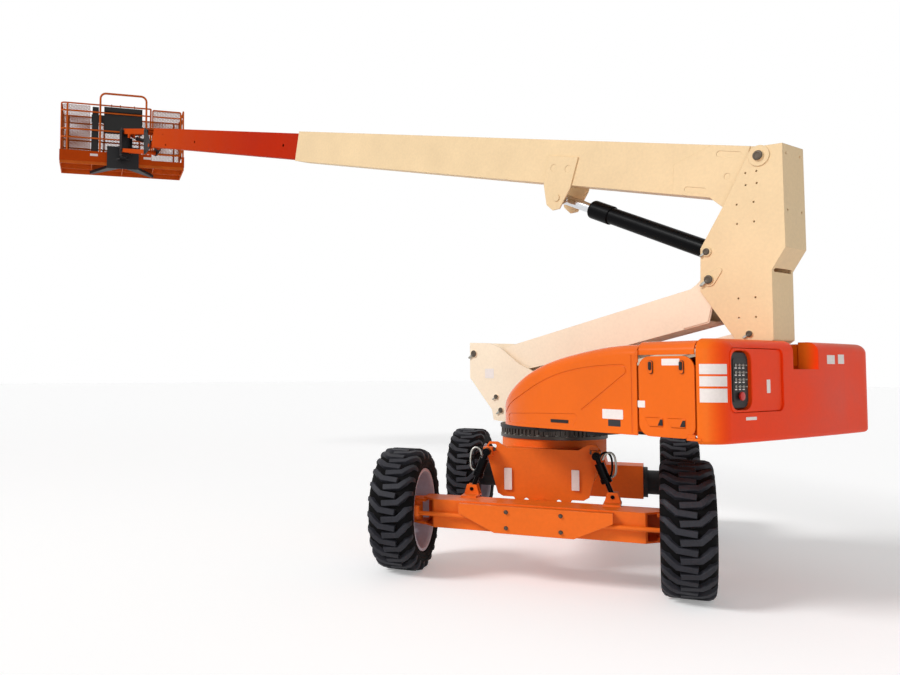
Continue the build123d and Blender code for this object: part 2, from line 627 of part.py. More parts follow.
with BuildPart() as ground_controls:
    with BuildSketch(Plane(origin=(TAIL_X - 70 + SEAT, 0, 0), x_dir=(0, 1, 0), z_dir=(1, 0, 0))):
        with Locations((PANEL_Y, PANEL_Z)):
            RectangleRounded(220, 350, 60)
    extrude(amount=46)
    fillet(ground_controls.faces().sort_by(Axis.X)[-1].edges(), 8)
finish(ground_controls.part, "ground_controls")

# nose hoods: a thin double-curved shell each side of the booms
SHELL = 8.0
NOSE_CORNER = 550.0
HOOD_IN = 190.0
EDGE_ROUND = 70.0


def nose_body(inset, edge_radius):
    """Solid under the nose hood's skin on the right side, moved in by inset."""
    front = HOOD_NOSE_X + inset
    outer = HOOD_HALF_WIDTH - inset
    corner = NOSE_CORNER - inset
    with BuildPart() as body:
        with BuildSketch(Plane.XY.offset(HOOD_BOTTOM)):
            with BuildLine():
                Line((front, -HOOD_IN), (front, -(outer - corner)))
                RadiusArc((front, -(outer - corner)), (front + corner, -outer), -corner)
                Polyline((front + corner, -outer), (NOSE_REAR_X, -outer), (NOSE_REAR_X, -HOOD_IN),
                         (front, -HOOD_IN))
            make_face()
        extrude(amount=HOOD_TOP - HOOD_BOTTOM)
        with BuildSketch(XZ):
            with BuildLine():
                Polyline((front - 20, 1225 - inset), (front - 20, HOOD_BOTTOM - 10),
                         (NOSE_REAR_X + 10, HOOD_BOTTOM - 10), (NOSE_REAR_X + 10, 1757 - inset))
                Spline((front - 20, 1225 - inset), (285, 1352 - inset), (449, 1453 - inset), (690, 1592 - inset),
                       (878, 1662 - inset), (1053, 1703 - inset), (1300, 1744 - inset),
                       (NOSE_REAR_X + 10, 1757 - inset))
            make_face()
        extrude(amount=HOOD_HALF_WIDTH + 10, mode=Mode.INTERSECT)
        crown = body.edges().filter_by(GeomType.BSPLINE).filter_by(
            lambda e: e.center().Z > 1240 and e.center().Y < -HOOD_IN - 10 and e.center().X < NOSE_REAR_X - 20)
        fillet(crown, edge_radius)
    return body.part


HINGE_X = NOSE_REAR_X + 6.0
KNUCKLE_R = 8.9
KNUCKLE_TOP = 1685.0
CREASE = 3.5
nose_skin = nose_body(0, EDGE_ROUND) - nose_body(SHELL, EDGE_ROUND - SHELL)
with BuildPart() as crease_cutter:
    with BuildSketch(XZ):
        with BuildLine():
            rise = Spline((352, 1262), (425, 1318), (575, 1391), (799, 1506), (1021, 1579), (1290, 1617), (1462, 1624))
            turn_down = RadiusArc(rise @ 1, (1486, 1566), 36)
            Line(turn_down @ 1, (1143, 1317))
            Line((NOSE_REAR_X - 36, HOOD_BOTTOM + 12), (NOSE_REAR_X - 36, 1690))
        trace(line_width=11)
        with BuildLine():
            Polyline((410, 1243), (440, 1262), (726, 1276), (1080, 1287), (1105, 1267), (1062, 1196), (430, 1196),
                     close=True)
        make_face()
    extrude(amount=HOOD_HALF_WIDTH + 10)
creases = crease_cutter.part & (nose_body(0, EDGE_ROUND) - nose_body(CREASE, EDGE_ROUND - CREASE))
with BuildPart() as nose_hood_right:
    add(nose_skin)
    # hinge knuckle at the rear edge, and room for the cover's knuckle above it
    with BuildSketch(Plane.XY.offset(KNUCKLE_TOP)):
        with Locations((HINGE_X, -HINGE_Y)):
            Circle(KNUCKLE_R)
    extrude(amount=-45)
    with BuildSketch(Plane.XY.offset(KNUCKLE_TOP)):
        with Locations((HINGE_X, -HINGE_Y)):
            Circle(KNUCKLE_R + 1.2)
    extrude(amount=80, mode=Mode.SUBTRACT)
    # pressed swage lines and the recess of the latch, all CREASE deep in the skin
    add(creases, mode=Mode.SUBTRACT)
finish(nose_hood_right.part, "nose_hood_right")
with BuildPart() as nose_hood_left:
    add(nose_hood_right.part)
    mirror(about=Plane.XZ, mode=Mode.REPLACE)
finish(nose_hood_left.part, "nose_hood_left")

# side doors between nose hood and counterweight, and the fixed covers above them
DOOR_TOP = 1680.0
DOOR_FRONT_X = NOSE_REAR_X + 13.0
DOOR_CORNER = 80.0          # clears the nose hood's hinge knuckle
for tag, side in (("right", -1), ("left", 1)):
    with BuildPart() as side_door:
        with BuildSketch(shifted(XZ, side * (HOOD_HALF_WIDTH - SHELL))):
            with BuildLine():
                edge = Polyline((DOOR_FRONT_X, HOOD_BOTTOM), (DOOR_FRONT_X, DOOR_TOP), (DOOR_REAR_X, DOOR_TOP),
                                (DOOR_REAR_X, HOOD_BOTTOM), close=True)
                fillet(edge.vertices().group_by(Axis.Z)[-1], DOOR_CORNER)
            make_face()
        extrude(amount=-side * SHELL)
        # stiffening flange behind the skin
        with BuildSketch(Plane.XY.offset(HOOD_BOTTOM + 20)):
            with Locations(((DOOR_FRONT_X + DOOR_REAR_X) / 2, side * (HOOD_HALF_WIDTH - SHELL - 8))):
                Rectangle(DOOR_REAR_X - DOOR_FRONT_X - 40, 18)
                Rectangle(DOOR_REAR_X - DOOR_FRONT_X - 60, 20, mode=Mode.SUBTRACT)
        extrude(amount=DOOR_TOP - HOOD_BOTTOM - 60)
        # air scoops
        for x in (1690, 1840):
            with BuildSketch(shifted(XZ, side * (HOOD_HALF_WIDTH + 5))):
                with BuildLine():
                    Polyline((x - 55, 1290), (x + 35, 1290), (x + 60, 1232), (x - 30, 1232), close=True)
                make_face()
            extrude(amount=side * 10, mode=Mode.SUBTRACT)
        # two latches near the top
        for x in (1675, 1885):
            with BuildSketch(shifted(XZ, side * HOOD_HALF_WIDTH)):
                with Locations((x, 1610)):
                    SlotOverall(80, 26, rotation=90)
            extrude(amount=-side * 12)
        # hinge knuckle at the lower rear corner
        with BuildSketch(Plane(origin=(DOOR_REAR_X - SEAT, side * HINGE_Y, DOOR_HINGE_Z), z_dir=(1, 0, 0))):
            Circle(8)
            with Locations((0, side * (HINGE_Y - HOOD_HALF_WIDTH - 1))):
                Rectangle(HINGE_LEAF, 6, align=(Align.MIN, Align.CENTER))
        extrude(amount=-50)
    finish(side_door.part, "side_door_" + tag)
    with BuildPart() as side_cover:
        with BuildSketch(Plane(origin=(DOOR_FRONT_X, 0, 0), x_dir=(0, 1, 0), z_dir=(1, 0, 0))):
            with BuildLine():
                w = HOOD_HALF_WIDTH
                Polyline((side * w, DOOR_TOP + 8), (side * w, HOOD_TOP - 70))
                ThreePointArc((side * w, HOOD_TOP - 70), (side * (w - 20), HOOD_TOP - 20), (side * (w - 70), HOOD_TOP))
                Polyline((side * (w - 70), HOOD_TOP), (side * HOOD_IN, HOOD_TOP), (side * HOOD_IN, HOOD_TOP - 8),
                         (side * (w - 70), HOOD_TOP - 8))
                ThreePointArc((side * (w - 70), HOOD_TOP - 8), (side * (w - 26), HOOD_TOP - 26),
                              (side * (w - 8), HOOD_TOP - 70))
                Polyline((side * (w - 8), HOOD_TOP - 70), (side * (w - 8), DOOR_TOP + 8), (side * w, DOOR_TOP + 8))
            make_face()
        extrude(amount=DOOR_REAR_X - DOOR_FRONT_X)
        # knuckle of the nose hood's hinge
        with BuildSketch(Plane.XY.offset(KNUCKLE_TOP + SEAT)):
            with Locations((HINGE_X, side * HINGE_Y)):
                Circle(KNUCKLE_R + 0.6)
        extrude(amount=35)
        # hanger down to the counterweight, with a foot
        with BuildSketch(shifted(XZ, side * HOOD_IN)):
            with BuildLine():
                Polyline((DOOR_FRONT_X, HOOD_TOP), (DOOR_REAR_X, HOOD_TOP), (DOOR_REAR_X, NOTCH_Z + 22),
                         (DOOR_FRONT_X, NOTCH_Z + 22), close=True)
            make_face()
        extrude(amount=-side * SHELL)
        with BuildSketch(Plane.XY.offset(NOTCH_Z + 22)):
            with Locations(((DOOR_FRONT_X + DOOR_REAR_X) / 2, side * (HOOD_IN + 50))):
                Rectangle(DOOR_REAR_X - DOOR_FRONT_X, 100)
        extrude(amount=SHELL)
    finish(side_cover.part, "side_cover_" + tag)

# ================================================================ lower boom linkage
LOWER_LENGTH = hypot(LOWER_TIP_PIN[0] - LOWER_PIN[0], LOWER_TIP_PIN[1] - LOWER_PIN[1])
LOWER_ELEVATION = degrees(atan2(LOWER_TIP_PIN[1] - LOWER_PIN[1], LOWER_TIP_PIN[0] - LOWER_PIN[0]))
a = radians(LOWER_ELEVATION)
LOWER = Plane(origin=(LOWER_PIN[0], 0, LOWER_PIN[1]), x_dir=(cos(a), 0, sin(a)), z_dir=(0, -1, 0))
LINK = Plane(origin=(LINK_ROOT[0], 0, LINK_ROOT[1]), x_dir=(cos(a), 0, sin(a)), z_dir=(0, -1, 0))
LIFT_EYE = (1450.0, -400.0)
TIP_PIN_R = 34.0
BOOM_WALL = 8.0
with BuildPart() as lower_boom:
    with BuildSketch(LOWER):
        with BuildLine():
            Polyline((-58, 0), (-40, 42), (0, 58), (70, 30), (150, -20), (LOWER_LENGTH - 150, -20),
                     (LOWER_LENGTH - 70, 30), (LOWER_LENGTH, 58), (LOWER_LENGTH + 42, 42), (LOWER_LENGTH + 60, 0),
                     (LOWER_LENGTH + 30, -60), (LOWER_LENGTH - 90, -300), (1500, -300), (300, -262), (60, -200),
                     close=True)
        make_face()
    extrude(amount=BOOM_HALF, both=True)
    with BuildSketch(LOWER):
        with BuildLine():
            Polyline((-100, 100), (150, 100), (150, -28), (LOWER_LENGTH - 150, -28), (LOWER_LENGTH - 150, 100),
                     (LOWER_LENGTH + 100, 100), (LOWER_LENGTH + 100, -100), (LOWER_LENGTH - 90, -292), (1500, -292),
                     (300, -254), (40, -190), (-100, -100), close=True)
        make_face()
    extrude(amount=BOOM_HALF - 10, both=True, mode=Mode.SUBTRACT)
    for t, r in ((0, ROOT_PIN_R), (LOWER_LENGTH, TIP_PIN_R)):
        with BuildSketch(LOWER):
            with Locations((t, 0)):
                Circle(r + 24)
        extrude(amount=BOOM_HALF, both=True)
        with BuildSketch(LOWER):
            with Locations((t, 0)):
                Circle(r + RUN)
        extrude(amount=BOOM_HALF + 1, both=True, mode=Mode.SUBTRACT)
    # doubler plates at the tip
    for side in (-1, 1):
        with BuildSketch(shifted(LOWER, side * BOOM_HALF)):
            with BuildLine():
                Polyline((LOWER_LENGTH - 60, 22), (LOWER_LENGTH - 180, -26), (LOWER_LENGTH - 300, -200),
                         (LOWER_LENGTH - 290, -292), (LOWER_LENGTH - 94, -290), (LOWER_LENGTH + 22, -60), close=True)
            make_face()
            with Locations((LOWER_LENGTH, 0)):
                Circle(TIP_PIN_R + RUN, mode=Mode.SUBTRACT)
        extrude(amount=-side * 5)
    # thrust washers out to the carrying plates
    for t, r, reach in ((0, ROOT_PIN_R, FRAME_IN), (LOWER_LENGTH, TIP_PIN_R, 132.0)):
        for side in (-1, 1):
            with BuildSketch(shifted(LOWER, side * BOOM_HALF)):
                with Locations((t, 0)):
                    Circle(r + 20)
                    Circle(r + RUN, mode=Mode.SUBTRACT)
            extrude(amount=-side * (reach - BOOM_HALF - SEAT))
    # bracket of the lift cylinder's rod
    for side in (-1, 1):
        with BuildSketch(shifted(LOWER, side * 36)):
            with BuildLine():
                x = LIFT_EYE[0]
                Polyline((x - 110, -290), (x - 42, -440), (x + 42, -440), (x + 130, -290), close=True)
            make_face()
        extrude(amount=-side * 16)
        with BuildSketch(shifted(LOWER, side * 36)):
            with Locations(LIFT_EYE):
                Circle(LIFT_PIN_R)
        extrude(amount=-side * 30)
finish(lower_boom.part, "lower_boom")

with BuildPart() as timing_link:
    for side in (-1, 1):
        with BuildSketch(shifted(LINK, side * LINK_IN)):
            with Locations((LOWER_LENGTH / 2, 0)):
                Rectangle(LOWER_LENGTH, 66)
            for t in (0, LOWER_LENGTH):
                with Locations((t, 0)):
                    Circle(40)
            for t in (0, LOWER_LENGTH):
                with Locations((t, 0)):
                    Circle(LINK_PIN_R + RUN, mode=Mode.SUBTRACT)
        extrude(amount=-side * (LINK_OUT - LINK_IN))
    with BuildSketch(LINK):
        with Locations((LOWER_LENGTH - 380, 0)):
            Circle(26)
    extrude(amount=LINK_IN + 5, both=True)
finish(timing_link.part, "timing_link")

# ---- hydraulic cylinders: (barrel name, rod name, root pin, eye centre, radii, barrel length, rod length)
lift_eye = LOWER.from_local_coords(Vector(LIFT_EYE[0], LIFT_EYE[1], 0))
UPPER = boom_plane(UPPER_PIN, UPPER_ELEVATION)
UPPER_EYE = (1680.0, -430.0)
UPPER_LIFT_ROOT = (1516.0, 2452.0)
upper_eye = UPPER.from_local_coords(Vector(UPPER_EYE[0], UPPER_EYE[1], 0))
JIB_ROOT = (-9087.0, 5960.0)
JIB_LOW_ROOT = (JIB_ROOT[0], JIB_ROOT[1] - JIB_ARM_SPACING)
JIB_LIFT_ROOT = (JIB_ROOT[0], JIB_ROOT[1] - 200.0)
JIB = boom_plane(JIB_ROOT, JIB_ELEVATION)
JIB_LOW = boom_plane(JIB_LOW_ROOT, JIB_ELEVATION)
JIB_EYE = (950.0, -105.0)
jib_eye = JIB.from_local_coords(Vector(JIB_EYE[0], JIB_EYE[1], 0))
cylinders = (
    # name, root pin, eye, root pin radius, eye half width, tube radius, head radius, rod radius,
    # length from root pin to head, head length, rod length from the eye inward
    ("lower_lift", LIFT_ROOT, lift_eye, LIFT_PIN_R, 30.0, 48.0, 52.0, 28.0, 940.0, 60.0, 880.0),
    ("upper_lift", UPPER_LIFT_ROOT, upper_eye, 35.0, 48.0, 68.0, 78.0, 42.0, 1190.0, 210.0, 1045.0),
    ("jib_lift", JIB_LIFT_ROOT, jib_eye, 18.0, 26.0, 34.0, 38.0, 17.0, 690.0, 40.0, 610.0),
)
for name, root, eye, pin_r, half, tube_r, head_r, rod_r, tube_l, head_l, rod_l in cylinders:
    start = Vector(root[0], 0, root[1])
    reach = eye - start
    axis = reach.normalized()
    cross = Plane(origin=start, x_dir=(0, 1, 0), z_dir=axis)
    side_view = Plane(origin=start, x_dir=axis, z_dir=(0, 1, 0))
    with BuildPart() as barrel:
        with BuildSketch(cross.offset(pin_r + 14)):
            Circle(tube_r)
        extrude(amount=tube_l - pin_r - 14)
        with BuildSketch(cross.offset(tube_l - head_l)):
            Circle(head_r)
        extrude(amount=head_l)
        head_rims = barrel.edges().filter_by(GeomType.CIRCLE).filter_by(lambda e: abs(e.radius - head_r) < 0.1)
        head_rims = head_rims.sort_by(lambda e: (e.center() - start).dot(axis))
        fillet(head_rims[-1], head_r * 0.3)
        fillet(barrel.edges().filter_by(GeomType.CIRCLE).filter_by(lambda e: abs(e.radius - head_r) < 0.1)
               .sort_by(lambda e: (e.center() - start).dot(axis))[0], (head_r - tube_r) * 0.8)
        with BuildSketch(side_view):
            Circle(pin_r + 24)
        extrude(amount=half + 6, both=True)
        with BuildSketch(cross.offset(pin_r + 44)):
            Circle(tube_r - 9)
        extrude(amount=tube_l - pin_r - 44 - 60, mode=Mode.SUBTRACT)
        with BuildSketch(cross.offset(tube_l - 80)):
            Circle(rod_r + RUN)
        extrude(amount=100, mode=Mode.SUBTRACT)
        with BuildSketch(side_view):
            Circle(pin_r + RUN)
        extrude(amount=half + 10, both=True, mode=Mode.SUBTRACT)
    finish(barrel.part, name + "_barrel")
    with BuildPart() as rod:
        with BuildSketch(Plane(origin=eye, x_dir=(0, 1, 0), z_dir=axis * -1).offset(rod_r * 0.5)):
            Circle(rod_r)
        extrude(amount=rod_l - rod_r * 0.5)
        with BuildSketch(Plane(origin=eye, x_dir=axis, z_dir=(0, 1, 0))):
            Circle(rod_r * 0.6 + 20)
        extrude(amount=half, both=True)
        with BuildSketch(Plane(origin=eye, x_dir=axis, z_dir=(0, 1, 0))):
            Circle(rod_r * 0.6)
        extrude(amount=half + 1, both=True, mode=Mode.SUBTRACT)
    finish(rod.part, name + "_rod")

# ================================================================ upright
UPRIGHT_WALL = 12.0
UPRIGHT_IN = UPRIGHT_HALF - UPRIGHT_WALL
BOLT_HOLE = 7.0
UPPER_PIN_R = 36.0
with BuildPart() as upright:
    with BuildSketch(XZ):
        with BuildLine():
            Polyline((1846, 3135), (1928, 3137), (2058, 3127), (2062, 2420), (1970, 2275), (1970, 1800),
                     (1940, 1778), (1760, 1778), (1709, 1807), (1461, 2165), (1468, 2480), (1638, 2755), close=True)
        make_face()
    extrude(amount=UPRIGHT_HALF, both=True)
    with BuildSketch(XZ):
        with BuildLine():
            Polyline((1700, 3200), (2046, 3200), (2050, 2424), (1958, 2279), (1958, 1790), (1700, 1700),
                     (1300, 1900), (1300, 2800), close=True)
        make_face()
    extrude(amount=UPRIGHT_IN, both=True, mode=Mode.SUBTRACT)
    # diaphragm between the lower boom's tip and the lift cylinder's root
    with BuildSketch(XZ):
        with Locations((1810, 2306)):
            Rectangle(300, 12)
    extrude(amount=UPRIGHT_IN + 2, both=True)
    # pins: lower boom, upper boom and upper lift cylinder, with their heads
    for pin, r, head in ((LOWER_TIP_PIN, TIP_PIN_R, 14), (UPPER_PIN, UPPER_PIN_R, 20), (UPPER_LIFT_ROOT, 35.0, 10)):
        with BuildSketch(XZ):
            with Locations(pin):
                Circle(r)
        extrude(amount=UPRIGHT_HALF + head, both=True)
    for side in (-1, 1):
        # stub pins of the timing link
        with BuildSketch(shifted(XZ, side * (LINK_IN - 4))):
            with Locations(LINK_TIP):
                Circle(LINK_PIN_R)
        extrude(amount=-side * (UPRIGHT_HALF + 8 - LINK_IN + 4))
        with BuildSketch(shifted(XZ, side * (LINK_OUT + 1))):
            with Locations(LINK_TIP):
                Circle(LINK_PIN_R + 16)
        extrude(amount=-side * (UPRIGHT_IN - LINK_OUT))
        # spacers beside the lift cylinder's root eye
        with BuildSketch(shifted(XZ, side * (48 + 7))):
            with Locations(UPPER_LIFT_ROOT):
                Circle(46)
        extrude(amount=-side * (UPRIGHT_IN - 54))
        # boss plate around the upper boom's pin, and the keeper plate of the lower boom's pin
        with BuildSketch(shifted(XZ, side * UPRIGHT_HALF)):
            with Locations(UPPER_PIN):
                Circle(72)
        extrude(amount=-side * 8)
        with BuildSketch(shifted(XZ, side * UPRIGHT_HALF)):
            with Locations(LOWER_TIP_PIN):
                Circle(50)
            with Locations((LOWER_TIP_PIN[0] + 76, LOWER_TIP_PIN[1] + 58)):
                Circle(20)
            make_hull()
        extrude(amount=-side * 6)
    # bolt holes: four on each corner group of the side plates, and four in the rear plate
    for centre, wide, high in (((1844, 2928), 76, 85), ((1799, 2690), 118, 137), ((1796, 2027), 118, 136)):
        with BuildSketch(XZ):
            with Locations(centre):
                with GridLocations(wide, high, 2, 2):
                    Circle(BOLT_HOLE)
        extrude(amount=UPRIGHT_HALF + 1, both=True, mode=Mode.SUBTRACT)
    with BuildSketch(Plane(origin=(2030, 0, 0), x_dir=(0, 1, 0), z_dir=(1, 0, 0))):
        with Locations((0, 2870)):
            with GridLocations(194, 388, 2, 2):
                Circle(BOLT_HOLE + 2)
    extrude(amount=60, mode=Mode.SUBTRACT)
    # drain slot across the rear plate's knee
    with BuildSketch(Plane(origin=(1940, 0, 0), x_dir=(0, 1, 0), z_dir=(1, 0, 0))):
        with Locations((0, 2276)):
            SlotOverall(2 * UPRIGHT_IN - 26, 26)
    extrude(amount=70, mode=Mode.SUBTRACT)
finish(upright.part, "upright")

# ================================================================ upper boom
BASE_TOP = 66.0
BASE_BOTTOM = -312.0
FLY_TOP = 42.0
FLY_BOTTOM = -288.0
PLUG_DEPTH = 2.5            # plug welds' hollows
with BuildPart() as base_boom:
    with BuildSketch(UPPER):
        with BuildLine():
            Polyline((-66, 0), (-48, 46), (0, BASE_TOP), (BASE_BOOM_LENGTH, BASE_TOP),
                     (BASE_BOOM_LENGTH, BASE_BOTTOM), (300, BASE_BOTTOM), (180, -375), (60, -375), (-60, -70),
                     close=True)
        make_face()
    extrude(amount=BOOM_HALF, both=True)
    with BuildSketch(UPPER):
        with BuildLine():
            Polyline((120, BASE_TOP - BOOM_WALL), (BASE_BOOM_LENGTH + 10, BASE_TOP - BOOM_WALL),
                     (BASE_BOOM_LENGTH + 10, BASE_BOTTOM + BOOM_WALL), (300, BASE_BOTTOM + BOOM_WALL),
                     (178, -367), (120, -367), close=True)
        make_face()
    extrude(amount=BOOM_HALF - BOOM_WALL, both=True, mode=Mode.SUBTRACT)
    # root opened behind the sleeve so that it stays a plate structure
    with BuildSketch(UPPER):
        with BuildLine():
            Polyline((70, 100), (108, 100), (108, -360), (60, -360), (-20, -130), (70, -90), close=True)
        make_face()
    extrude(amount=BOOM_HALF - 10, both=True, mode=Mode.SUBTRACT)
    with BuildSketch(UPPER):
        Circle(UPPER_PIN_R + RUN)
    extrude(amount=BOOM_HALF + 1, both=True, mode=Mode.SUBTRACT)
    for side in (-1, 1):
        with BuildSketch(shifted(UPPER, side * BOOM_HALF)):
            Circle(60)
            Circle(UPPER_PIN_R + RUN, mode=Mode.SUBTRACT)
        extrude(amount=side * (UPRIGHT_IN - BOOM_HALF - SEAT))
        # root reinforcement
        with BuildSketch(shifted(UPPER, side * BOOM_HALF)):
            with BuildLine():
                Polyline((90, BASE_TOP), (375, BASE_TOP), (643, -91), (600, -312), (300, -312), (180, -375),
                         (90, -375), close=True)
            make_face()
        extrude(amount=side * 6)
        with BuildSketch(shifted(UPPER, side * (BOOM_HALF + 6))):
            with Locations((231, 4)):
                SlotOverall(186, 42)
            with Locations((427, -266)):
                SlotOverall(172, 38)
            with Locations((207, -152)):
                Circle(22)
        extrude(amount=-side * PLUG_DEPTH, mode=Mode.SUBTRACT)
        # lift cylinder bracket, flush on the boom's side
        with BuildSketch(shifted(UPPER, side * BOOM_HALF)):
            with BuildLine():
                Polyline((1540, -75), (1862, -75), (1850, -330), (1776, -500), (1700, -540), (1630, -520),
                         (1560, -340), close=True)
            make_face()
        extrude(amount=side * 12)
        with BuildSketch(shifted(UPPER, side * (BOOM_HALF + 12))):
            with Locations((1622, -177), (1778, -177)):
                Circle(31)
        extrude(amount=-side * PLUG_DEPTH, mode=Mode.SUBTRACT)
        with BuildSketch(shifted(UPPER, side * (BOOM_HALF - 10))):
            with BuildLine():
                Polyline((1560, -305), (1850, -305), (1776, -490), (1700, -530), (1640, -510), close=True)
            make_face()
        extrude(amount=side * 12)
        with BuildSketch(shifted(UPPER, side * (48 + 6))):
            with Locations(UPPER_EYE):
                Circle(30)
        extrude(amount=side * (BOOM_HALF + 20 - 54))
        # wear pads at the mouth
        with BuildSketch(shifted(UPPER, side * (FLY_HALF + SEAT))):
            with Locations((BASE_BOOM_LENGTH - 60, -40), (BASE_BOOM_LENGTH - 60, -200)):
                Rectangle(80, 60)
        extrude(amount=side * (BOOM_HALF - 2 - FLY_HALF))
finish(base_boom.part, "base_boom")

NOSE_PIN = (11100.0, -270.0)
NOSE_PIN_R = 30.0
FLY_WALL = 6.0
FLY_END = FLY_OUT + FLY_LENGTH
JIB_PLATE_IN = 100.0
JIB_PLATE_OUT = 112.0
with BuildPart() as fly_boom:
    with BuildSketch(UPPER):
        with Locations((FLY_OUT + FLY_LENGTH / 2, (FLY_TOP + FLY_BOTTOM) / 2)):
            Rectangle(FLY_LENGTH, FLY_TOP - FLY_BOTTOM)
    extrude(amount=FLY_HALF, both=True)
    with BuildSketch(UPPER):
        with Locations((FLY_OUT + FLY_LENGTH / 2 - 10, (FLY_TOP + FLY_BOTTOM) / 2)):
            Rectangle(FLY_LENGTH, FLY_TOP - FLY_BOTTOM - 2 * FLY_WALL)
    extrude(amount=FLY_HALF - FLY_WALL, both=True, mode=Mode.SUBTRACT)
    for side in (-1, 1):
        with BuildSketch(shifted(UPPER, side * 60)):
            with BuildLine():
                Polyline((10700, -284), (10700, -200), (FLY_END, -90), (11060, -190), (11152, -240), (11158, -285),
                         (11120, -322), (11070, -322), (FLY_END, -284), close=True)
            make_face()
        extrude(amount=side * 20)
    with BuildSketch(UPPER):
        with Locations(NOSE_PIN):
            Circle(NOSE_PIN_R)
    extrude(amount=JIB_PLATE_OUT + 8, both=True)
    # rigging holes through the sides
    with BuildSketch(UPPER):
        with Locations((6438, -123), (9225, -154), (10389, -238)):
            Circle(20)
        with Locations((10560, -60)):
            Circle(13)
    extrude(amount=FLY_HALF + 1, both=True, mode=Mode.SUBTRACT)
finish(fly_boom.part, "fly_boom")

# ================================================================ jib
JIB_PIN_R = 24.0
nose_pin = along(UPPER_PIN, UPPER_ELEVATION, NOSE_PIN[0], NOSE_PIN[1])
JIB_TIP = along(JIB_ROOT, JIB_ELEVATION, JIB_LENGTH, 0)
JIB_LOW_TIP = (JIB_TIP[0], JIB_TIP[1] - JIB_ARM_SPACING)
ROTATOR_X = JIB_TIP[0] - ROTATOR_REACH
ARM_HALF = 60.0
BAR_IN = 70.0
BAR_OUT = 88.0
with BuildPart() as jib_base:
    for side in (-1, 1):
        with BuildSketch(shifted(XZ, side * JIB_PLATE_IN)):
            with BuildLine():
                x, z = JIB_ROOT
                Polyline((-8846, 5645), (-8870, 5602), (-8960, 5560), (x + 25, 5530), (x - 30, 5530), (x - 55, 5560),
                         (x - 55, z + 20), (x - 25, z + 55), (x + 25, z + 55), (-8985, 5900), (-8850, 5700),
                         close=True)
            make_face()
            with Locations(nose_pin):
                Circle(NOSE_PIN_R + RUN, mode=Mode.SUBTRACT)
        extrude(amount=-side * (JIB_PLATE_OUT - JIB_PLATE_IN))
    for pin, r in ((JIB_ROOT, JIB_PIN_R), (JIB_LOW_ROOT, JIB_PIN_R), (JIB_LIFT_ROOT, 18.0)):
        with BuildSketch(XZ):
            with Locations(pin):
                Circle(r)
        extrude(amount=JIB_PLATE_OUT + 8, both=True)
    for pin, start, r in ((JIB_ROOT, ARM_HALF + 1, 38), (JIB_LOW_ROOT, BAR_OUT + 1, 38), (JIB_LIFT_ROOT, 33, 28)):
        for side in (-1, 1):
            with BuildSketch(shifted(XZ, side * start)):
                with Locations(pin):
                    Circle(r)
            extrude(amount=-side * (JIB_PLATE_IN - start))
finish(jib_base.part, "jib_base")

with BuildPart() as jib_upper_arm:
    with BuildSketch(JIB):
        with BuildLine():
            Polyline((0, 50), (JIB_LENGTH, 50))
            ThreePointArc((JIB_LENGTH, 50), (JIB_LENGTH + 50, 0), (JIB_LENGTH, -50))
            Polyline((JIB_LENGTH, -50), (0, -50))
            ThreePointArc((0, -50), (-50, 0), (0, 50))
        make_face()
    extrude(amount=ARM_HALF, both=True)
    # underside open over the lift cylinder
    with BuildSketch(JIB):
        with Locations((545, -12)):
            Rectangle(1030, 100)
    extrude(amount=ARM_HALF - 10, both=True, mode=Mode.SUBTRACT)
    with BuildSketch(JIB):
        with Locations((-8, -12)):
            Rectangle(90, 100)
        Circle(JIB_PIN_R + 8, mode=Mode.SUBTRACT)
    extrude(amount=ARM_HALF - 10, both=True, mode=Mode.SUBTRACT)
    for side in (-1, 1):
        with BuildSketch(shifted(JIB, side * 34)):
            with BuildLine():
                x = JIB_EYE[0]
                Polyline((x - 70, 38), (x - 26, -125), (x + 26, -125), (x + 70, 38), close=True)
            make_face()
        extrude(amount=side * (ARM_HALF - 34))
    for t in (0, JIB_LENGTH):
        with BuildSketch(JIB):
            with Locations((t, 0)):
                Circle(JIB_PIN_R + RUN)
        extrude(amount=ARM_HALF + 1, both=True, mode=Mode.SUBTRACT)
finish(jib_upper_arm.part, "jib_upper_arm")

with BuildPart() as jib_lower_arm:
    for side in (-1, 1):
        with BuildSketch(shifted(JIB_LOW, side * BAR_IN)):
            with Locations((JIB_LENGTH / 2, 0)):
                Rectangle(JIB_LENGTH, 70)
            with Locations((0, 0), (JIB_LENGTH, 0)):
                Circle(42)
            with Locations((0, 0), (JIB_LENGTH, 0)):
                Circle(JIB_PIN_R + RUN, mode=Mode.SUBTRACT)
        extrude(amount=side * (BAR_OUT - BAR_IN))
    for t in (0, JIB_LENGTH):
        with BuildSketch(JIB_LOW):
            with Locations((t, 0)):
                Circle(JIB_PIN_R + 9)
                Circle(JIB_PIN_R + RUN, mode=Mode.SUBTRACT)
        extrude(amount=BAR_IN + 2, both=True)
finish(jib_lower_arm.part, "jib_lower_arm")

# ================================================================ platform
ROTATOR_R = 75.0
ROTATOR_LOW = 5800.0
ROTATOR_HIGH = 6020.0
ROTATOR_PIN_R = 35.0
turn = radians(PLATFORM_TURN)
OUTWARD = Vector(-cos(turn), sin(turn), 0)


def deck_plane(z):
    """Level plane at the platform: origin on the rotator, local x away from the booms."""
    return Plane(origin=(ROTATOR_X, 0, z), x_dir=OUTWARD, z_dir=UP)


def deck_cross(x):
    """Upright plane along the platform's length: local x as the deck's local y, local y up."""
    return Plane(origin=Vector(ROTATOR_X, 0, 0) + OUTWARD * x, x_dir=UP.cross(OUTWARD), z_dir=OUTWARD)


